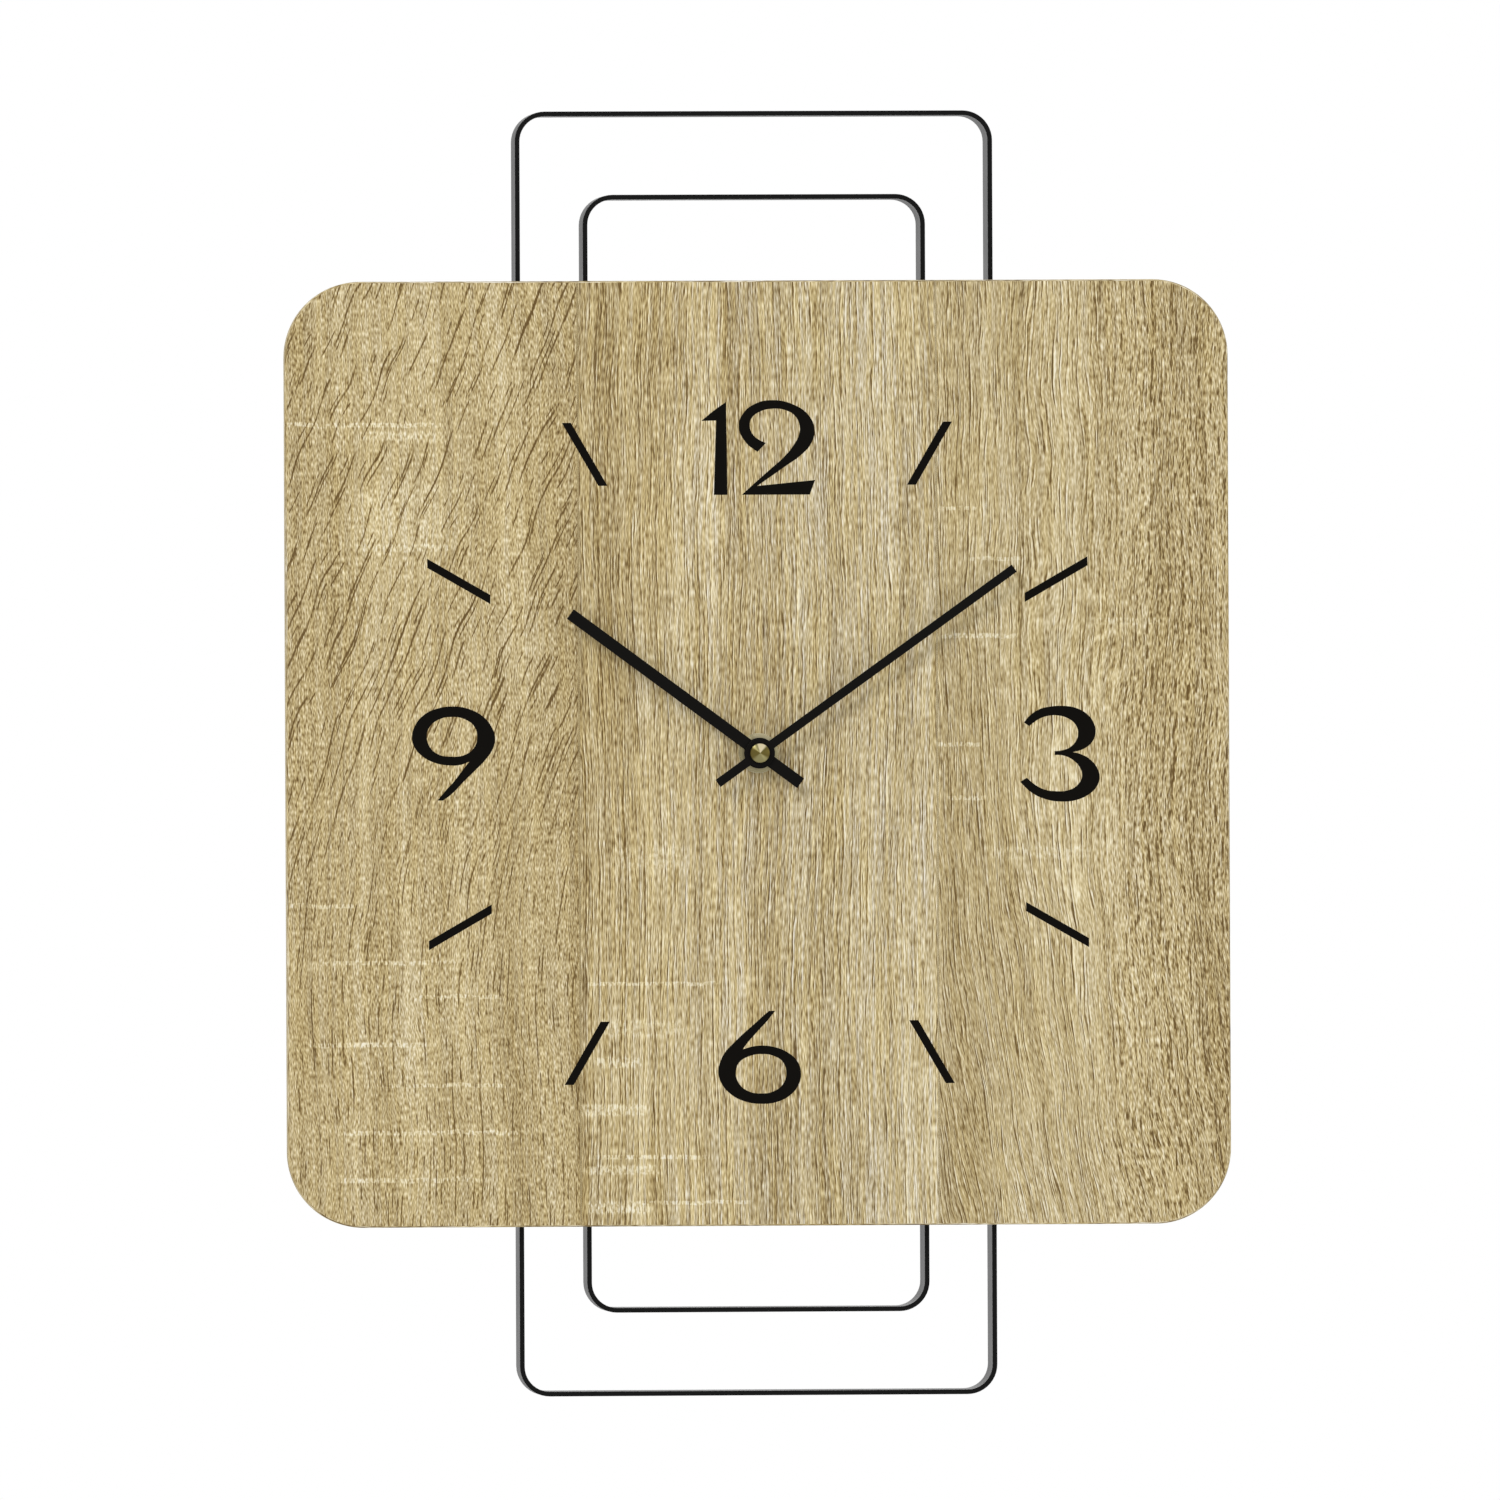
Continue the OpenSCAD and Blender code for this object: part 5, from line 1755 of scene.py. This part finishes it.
@dataclass(frozen=True)
class Housing(SubAssembly):
    """The movement's two-part housing, its setting knob and the marks moulded on it."""

    rear: float = 4.5
    relief: float = 0.25
    sunk: float = 0.1
    edge: float = 0.2
    knob_x: float = 13.11
    knob_y: float = 13.11
    arrow_radius: float = 8.4
    arrow_width: float = 0.6
    arrow_head: float = 1.02
    arrow_steps: int = 9
    arrow_span: float = 62.0
    arrow_tip: float = 74.0
    sign_x: float = 22.5
    sign_y: float = -7.6
    sign_half: float = 2.2
    sign_thin: float = 0.35
    shell: Finish = Coat("housing_mould", (0.028, 0.028, 0.030), 0.5, 0.35, 0.02)
    cover: Finish = Coat("cover_mould", (0.033, 0.033, 0.035), 0.46, 0.35, 0.02)
    knob: Finish = Coat("red_knob_mould", (0.42, 0.035, 0.025), 0.38, 0.5, gloss=0.5)
    plate: Finish = Coat("plate_mould", (0.50, 0.48, 0.43), 0.5, 0.5)

    def build(self) -> None:
        """Rounds the housing, adds the moulded marks and dresses everything."""
        for node, name, slot, finish in (
            ("front_housing", "housing_shell", "housing_plastic", self.shell),
            ("rear_cover", "housing_cover", "cover_plastic", self.cover),
        ):
            self.bench.soften(node, name, self.edge, Body.FRAME, slot, finish)
        marks = self._arrow(0) + self._arrow(180) + self._signs()
        low, high = self.rear - self.relief, self.rear + self.sunk
        mesh = Shapes.prisms("moulded_marks", marks, low, high)
        self.bench.hand_over(mesh, Body.FRAME, "cover_plastic", self.cover)
        self.bench.dress(self.knob, "setting_knob")
        self.bench.dress(self.plate, "middle_plate")

    def _round_knob(self, radius: float, degrees: float) -> Point:
        """A point round the setting knob."""
        angle = math.radians(degrees)
        return (self.knob_x + radius * math.cos(angle), self.knob_y + radius * math.sin(angle))

    def _arrow(self, start: float) -> list[list[Point]]:
        """A curved arrow round the setting knob.

        Args:
            start: where it starts, in degrees.

        Returns:
            Its pieces as convex outlines.
        """
        inner = self.arrow_radius - self.arrow_width / 2
        outer = self.arrow_radius + self.arrow_width / 2
        step = self.arrow_span / self.arrow_steps
        turns = [start + step * k for k in range(self.arrow_steps + 1)]
        corners = [
            ((inner, a), (outer, a), (outer, b), (inner, b)) for a, b in zip(turns, turns[1:])
        ]
        corners.append(
            (
                (inner - self.arrow_head / 2, turns[-1]),
                (outer + self.arrow_head / 2, turns[-1]),
                (self.arrow_radius, start + self.arrow_tip),
            )
        )
        return [[self._round_knob(*corner) for corner in outline] for outline in corners]

    def _signs(self) -> list[list[Point]]:
        """The plus at the cell's nipple end and the minus at its flat end.

        Returns:
            Their bars as outlines.
        """
        half, thin = self.sign_half, self.sign_thin
        ways = ((-1, -1), (1, -1), (1, 1), (-1, 1))
        return [
            [(x + way_x * half_x, self.sign_y + way_y * half_y) for way_x, way_y in ways]
            for x, half_x, half_y in (
                (self.sign_x, half, thin), (self.sign_x, thin, half), (-self.sign_x, half, thin)
            )
        ]


@dataclass(frozen=True)
class Train(SubAssembly):
    """The wheels between the motor and the hands."""

    wheels: tuple[str, ...] = (
        "hour_wheel", "motion_wheel", "centre_wheel", "third_wheel", "seconds_wheel",
        "intermediate_wheel", "rotor_pinion",
    )
    acetal: Finish = Coat("wheel_acetal", (0.78, 0.76, 0.68), 0.36, 0.6, gloss=0.45)
    magnet: Finish = Coat("sintered_magnet", (0.07, 0.07, 0.08), 0.5, 0.15, 0.02, 0.6)

    def build(self) -> None:
        """Dresses the wheels and the magnet."""
        self.bench.dress(self.acetal, *self.wheels)
        self.bench.dress(self.magnet, "rotor_magnet")


@dataclass(frozen=True)
class Motor(SubAssembly):
    """The stepping motor's stator, core, bobbin and winding."""

    length: float = 14.4
    radius: float = 3.12
    wire: float = 0.06
    turns: float = 110.0
    iron: Finish = SheetMetal("rolled_iron", (0.46, 0.47, 0.50), 0.36)
    bobbin: Finish = Coat("bobbin_mould", (0.03, 0.12, 0.06), 0.42, 0.5)
    enamel: Finish = Coat("enamelled_wire", (0.42, 0.13, 0.04), 0.25, 1.0, gloss=0.8)
    screw: Finish = SheetMetal("coil_screw_steel", (0.60, 0.60, 0.62), 0.3)

    def build(self) -> None:
        """Winds the coil over its core and dresses the motor."""
        coil = Repeats.mesh(
            "coil_turns",
            Repeats.helix(),
            self.bench.material(self.enamel),
            Turns=self.turns,
            Radius=self.radius * MM,
            Length=self.length * MM,
            Wire_Radius=self.wire * MM,
        )
        low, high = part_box("coil_winding")
        foot = (low + high) / 2 - Vector((0, 0, self.length * MM / 2))
        coil.transform(Matrix.Translation(foot))
        self.bench.hand_over(Shapes.thing(coil.name, coil), Body.FRAME, "copper_wire", self.enamel)
        self.bench.dress(self.enamel, "coil_winding")
        self.bench.dress(self.iron, "stator", "coil_core")
        self.bench.dress(self.bobbin, "coil_bobbin")
        self.bench.dress(self.screw, "coil_screws")


@dataclass(frozen=True)
class Electronics(SubAssembly):
    """The circuit board, what is on it and the battery contacts."""

    joint_radius: float = 0.7
    joint_steps: int = 16
    joint_profile: tuple[Point, ...] = (
        (0.0, 0.45), (0.35, 0.40), (0.7, 0.2), (1.0, 0.0), (0.0, 0.0)
    )
    # where the joints stand, as shares of the board's length and its width
    joint_shares: tuple[float, ...] = (0.06, 0.5, 0.56, 0.78, 0.82, 0.94)
    joint_row: float = 0.42
    board: Finish = Laminate("board_resist")
    resin: Finish = Coat("cast_resin", (0.012, 0.012, 0.012), 0.22, 1.5, gloss=0.5)
    can: Finish = SheetMetal("drawn_can", (0.74, 0.74, 0.75), 0.2, Axis.X)
    contact: Finish = SheetMetal("nickel_strip", (0.70, 0.69, 0.66), 0.26)
    solder: Finish = SheetMetal("solder", (0.66, 0.66, 0.68), 0.24)

    def build(self) -> None:
        """Dresses the board and solders the parts to it."""
        self.bench.dress(self.board, "circuit_board")
        self.bench.dress(self.resin, "clock_chip")
        self.bench.dress(self.can, "quartz_crystal")
        self.bench.dress(self.contact, "positive_contact", "negative_contact")
        self.bench.hand_over(self._joints(), Body.FRAME, "screw_steel", self.solder)

    def _joints(self) -> Object:
        """A row of solder joints along the board, as low domes.

        Returns:
            The piece, in the frame.
        """
        low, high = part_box("circuit_board")
        level = low.z + (high.z - low.z) * self.joint_row
        bm = bmesh.new()
        for share in self.joint_shares:
            dome = Shapes.lathe("joint", self.joint_profile, self.joint_steps)
            dome.transform(
                Matrix.Translation((low.x + (high.x - low.x) * share, high.y, level))
                @ Matrix.Rotation(-math.pi / 2, 4, "X")
                @ Matrix.Scale(self.joint_radius * MM, 4)
            )
            bm.from_mesh(dome)
            bpy.data.meshes.remove(dome)
        return Shapes.thing("solder_joints", Shapes.smooth(bm, "solder_joints", Shapes.COPY_SHARP))


@dataclass(frozen=True)
class Battery(SubAssembly):
    """The cell: a printed sleeve over a steel can."""

    fold: float = 0.7
    fold_in: float = 0.3
    lip: float = 1.12
    lip_round: Point = (0.2, 0.1)
    recess: float = 0.35
    tuck: float = 0.1
    nipple_radius: float = 2.75
    nipple: float = 1.2
    nipple_foot: float = 0.5
    nipple_round: Point = (0.4, 0.12)
    sleeve: Finish = Sleeve("cell_sleeve_print")
    steel: Finish = SheetMetal("cell_steel", (0.70, 0.70, 0.70), 0.28, Axis.X)

    def build(self) -> None:
        """Builds the sleeve and the two ends."""
        low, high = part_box("battery_cell")
        length = (high.x - low.x) / MM
        radius = (high.z - low.z) / 2 / MM
        place = (
            Matrix.Translation((low.x, (low.y + high.y) / 2, (low.z + high.z) / 2))
            @ Matrix.Rotation(math.pi / 2, 4, "Y")
            @ Matrix.Scale(MM, 4)
        )
        for name, profile, finish, stands_for in (
            ("cell_sleeve", self._sleeve(radius, length), self.sleeve, ("battery_cell",)),
            ("cell_ends", self._ends(radius, length), self.steel, ()),
        ):
            mesh = Shapes.lathe(name, profile)
            mesh.transform(place)
            piece = Shapes.thing(name, mesh)
            self.bench.hand_over(piece, Body.BATTERY, "cell_jacket", finish, *stands_for)

    def _sleeve(self, radius: float, length: float) -> list[Point]:
        """The sleeve's profile, folded over the can at both ends.

        Args:
            radius: the cell's radius.
            length: its length with the nipple.

        Returns:
            Radii and heights.
        """
        body = length - self.nipple
        lip = radius - self.lip
        across, up = self.lip_round
        corner = self.fold * self.fold_in
        half = [
            (lip, self.recess), (lip, up), (lip + across, 0.0), (radius - self.fold, 0.0),
            (radius - corner, corner), (radius, self.fold),
        ]
        return half + [(reach, body - height) for reach, height in reversed(half)]

    def _ends(self, radius: float, length: float) -> list[Point]:
        """The can's profile inside the sleeve, with the nipple on its far end.

        Args:
            radius: the cell's radius.
            length: its length with the nipple.

        Returns:
            Radii and heights.
        """
        low = self.recess - self.tuck
        high = length - self.nipple - low
        wide = radius - self.lip + self.tuck
        narrow = self.nipple_radius
        fillet, inner = self.nipple_round
        return [
            (0.0, low), (wide, low), (wide, high), (narrow + self.nipple_foot, high),
            (narrow, length - self.nipple), (narrow, length - fillet),
            (narrow - inner, length - inner), (narrow - fillet, length), (0.0, length),
        ]


# ---------------------------------------------------------------- stage


@dataclass(frozen=True)
class Lamp:
    """A soft square lamp: its place, its size and its power."""

    name: str
    place: tuple[float, float, float]
    size: float
    power: float


@dataclass(frozen=True)
class Stage:
    """The floor, the light and the camera, in metres."""

    sky: float = 0.62
    floor_drop: float = 0.25
    floor_half: float = 30.0
    floor_tone: float = 0.92
    shadow_reach: float = 1.4
    shadow_full: float = 0.4
    lamps: tuple[Lamp, ...] = (
        Lamp("key", (-2.6, -4.2, 3.0), 1.8, 116.0),
        Lamp("fill", (3.8, -3.2, 0.6), 2.6, 30.0),
        Lamp("rim", (-0.8, 4.4, 3.2), 2.4, 88.0),
    )
    camera_azimuth: float = -4.0
    camera_roll: float = 0.25
    camera_distance: float = 10.0
    camera_clip: Point = (0.1, 200.0)
    view_width: float = 0.4760
    aim_x: float = -0.00267
    aim_z: float = 0.0010
    sensor: float = 36.0

    def build(self) -> None:
        """Sets the stage round the clock."""
        self._world()
        self._floor()
        for lamp in self.lamps:
            self._lamp(lamp)
        self._camera()
        bpy.context.scene.view_settings.view_transform = "Standard"

    def _seen(self, wiring: Wiring) -> Signal:
        """Where rays show the surroundings directly or in a reflection.

        Args:
            wiring: the wiring of a floor or a world.

        Returns:
            1 for such rays, else 0.
        """
        path = wiring.add("ShaderNodeLightPath")
        rays = ("Is Camera Ray", "Is Glossy Ray", "Is Transmission Ray")
        camera, glossy, through = (Signal(wiring, path.outputs[name]) for name in rays)
        return camera.do("MAXIMUM", glossy).do("MAXIMUM", through)

    def _world(self) -> None:
        """A white world to look at, which lights the clock at a plain level."""
        world = bpy.data.worlds.new("studio")
        wiring = Wiring.of(world)
        strength = self._seen(wiring) * (1 - self.sky) + self.sky
        light = wiring.put("ShaderNodeBackground", Color=WHITE, Strength=strength)
        wiring.add("ShaderNodeOutputWorld", light)
        bpy.context.scene.world = world

    def _floor(self) -> None:
        """A pale floor below the clock, which turns to plain white away from its shadow."""
        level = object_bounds()[0].z - self.floor_drop
        half = self.floor_half
        ways = ((-1, -1), (1, -1), (1, 1), (-1, 1))
        mesh = bpy.data.meshes.new("floor")
        mesh.from_pydata([(x * half, y * half, level) for x, y in ways], [], [(0, 1, 2, 3)])
        material = bpy.data.materials.new("pale_floor")
        wiring = Wiring.of(material)
        x, y, _ = wiring.object_mm()
        away = (x * x + y * y).do("SQRT") * MM
        far = away.rise(self.shadow_reach * self.shadow_full, self.shadow_reach)
        matt = wiring.put("ShaderNodeBsdfDiffuse", Color=(self.floor_tone,) * 3)
        white = wiring.put("ShaderNodeEmission", Color=WHITE)
        mixed = wiring.put("ShaderNodeMixShader", far * self._seen(wiring), matt, white)
        wiring.add("ShaderNodeOutputMaterial", mixed)
        mesh.materials.append(material)
        Shapes.thing("floor", mesh)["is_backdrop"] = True

    def _lamp(self, lamp: Lamp) -> None:
        """One soft lamp, turned to the clock.

        Args:
            lamp: the lamp.
        """
        data = bpy.data.lights.new(lamp.name, "AREA")
        data.shape = "SQUARE"
        data.size = lamp.size
        data.energy = lamp.power
        thing = Shapes.thing(lamp.name, data)
        thing.location = lamp.place
        thing.rotation_euler = (-Vector(lamp.place)).to_track_quat("-Z", "Y").to_euler()
        thing.visible_camera = False

    def _camera(self) -> None:
        """A long lens a little to the left of the dial's own axis."""
        data = bpy.data.cameras.new("camera")
        data.sensor_width = self.sensor
        data.lens = self.sensor * self.camera_distance / self.view_width
        data.clip_start, data.clip_end = self.camera_clip
        low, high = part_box("dial_panel")
        target = (low + high) / 2 + Vector((self.aim_x, 0, self.aim_z))
        target.y = low.y
        azimuth = math.radians(self.camera_azimuth)
        back = Vector((math.sin(azimuth), -math.cos(azimuth), 0.0))
        turn = (-back).to_track_quat("-Z", "Y").to_matrix()
        roll = Matrix.Rotation(math.radians(-self.camera_roll), 3, "Z")
        thing = Shapes.thing("camera", data)
        thing.location = target + back * self.camera_distance
        thing.rotation_euler = (turn @ roll).to_euler()
        bpy.context.scene.camera = thing


# ---------------------------------------------------------------- the clock


def corners(box: tuple[Vector, Vector]) -> list[list[float]]:
    """A box as plain lists of numbers."""
    return [list(corner) for corner in box]


def main() -> None:
    """Builds the clock's pieces in order, then the stage round them."""
    logging.basicConfig(level=logging.INFO, format="%(name)s: %(message)s")
    for leftover in list(bpy.data.objects):
        bpy.data.objects.remove(leftover)
    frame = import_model()
    bench = Bench(frame["nodes"])
    for kind in (
        DialPanel, DialPrint, BandFrame, Hub, Housing, Train, Motor, Electronics, Battery
    ):
        LOG.info("building %s", kind.__name__)
        kind(bench).build()
    Stage().build()
    bpy.context.view_layer.update()
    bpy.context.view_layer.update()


if __name__ == "__main__":
    main()
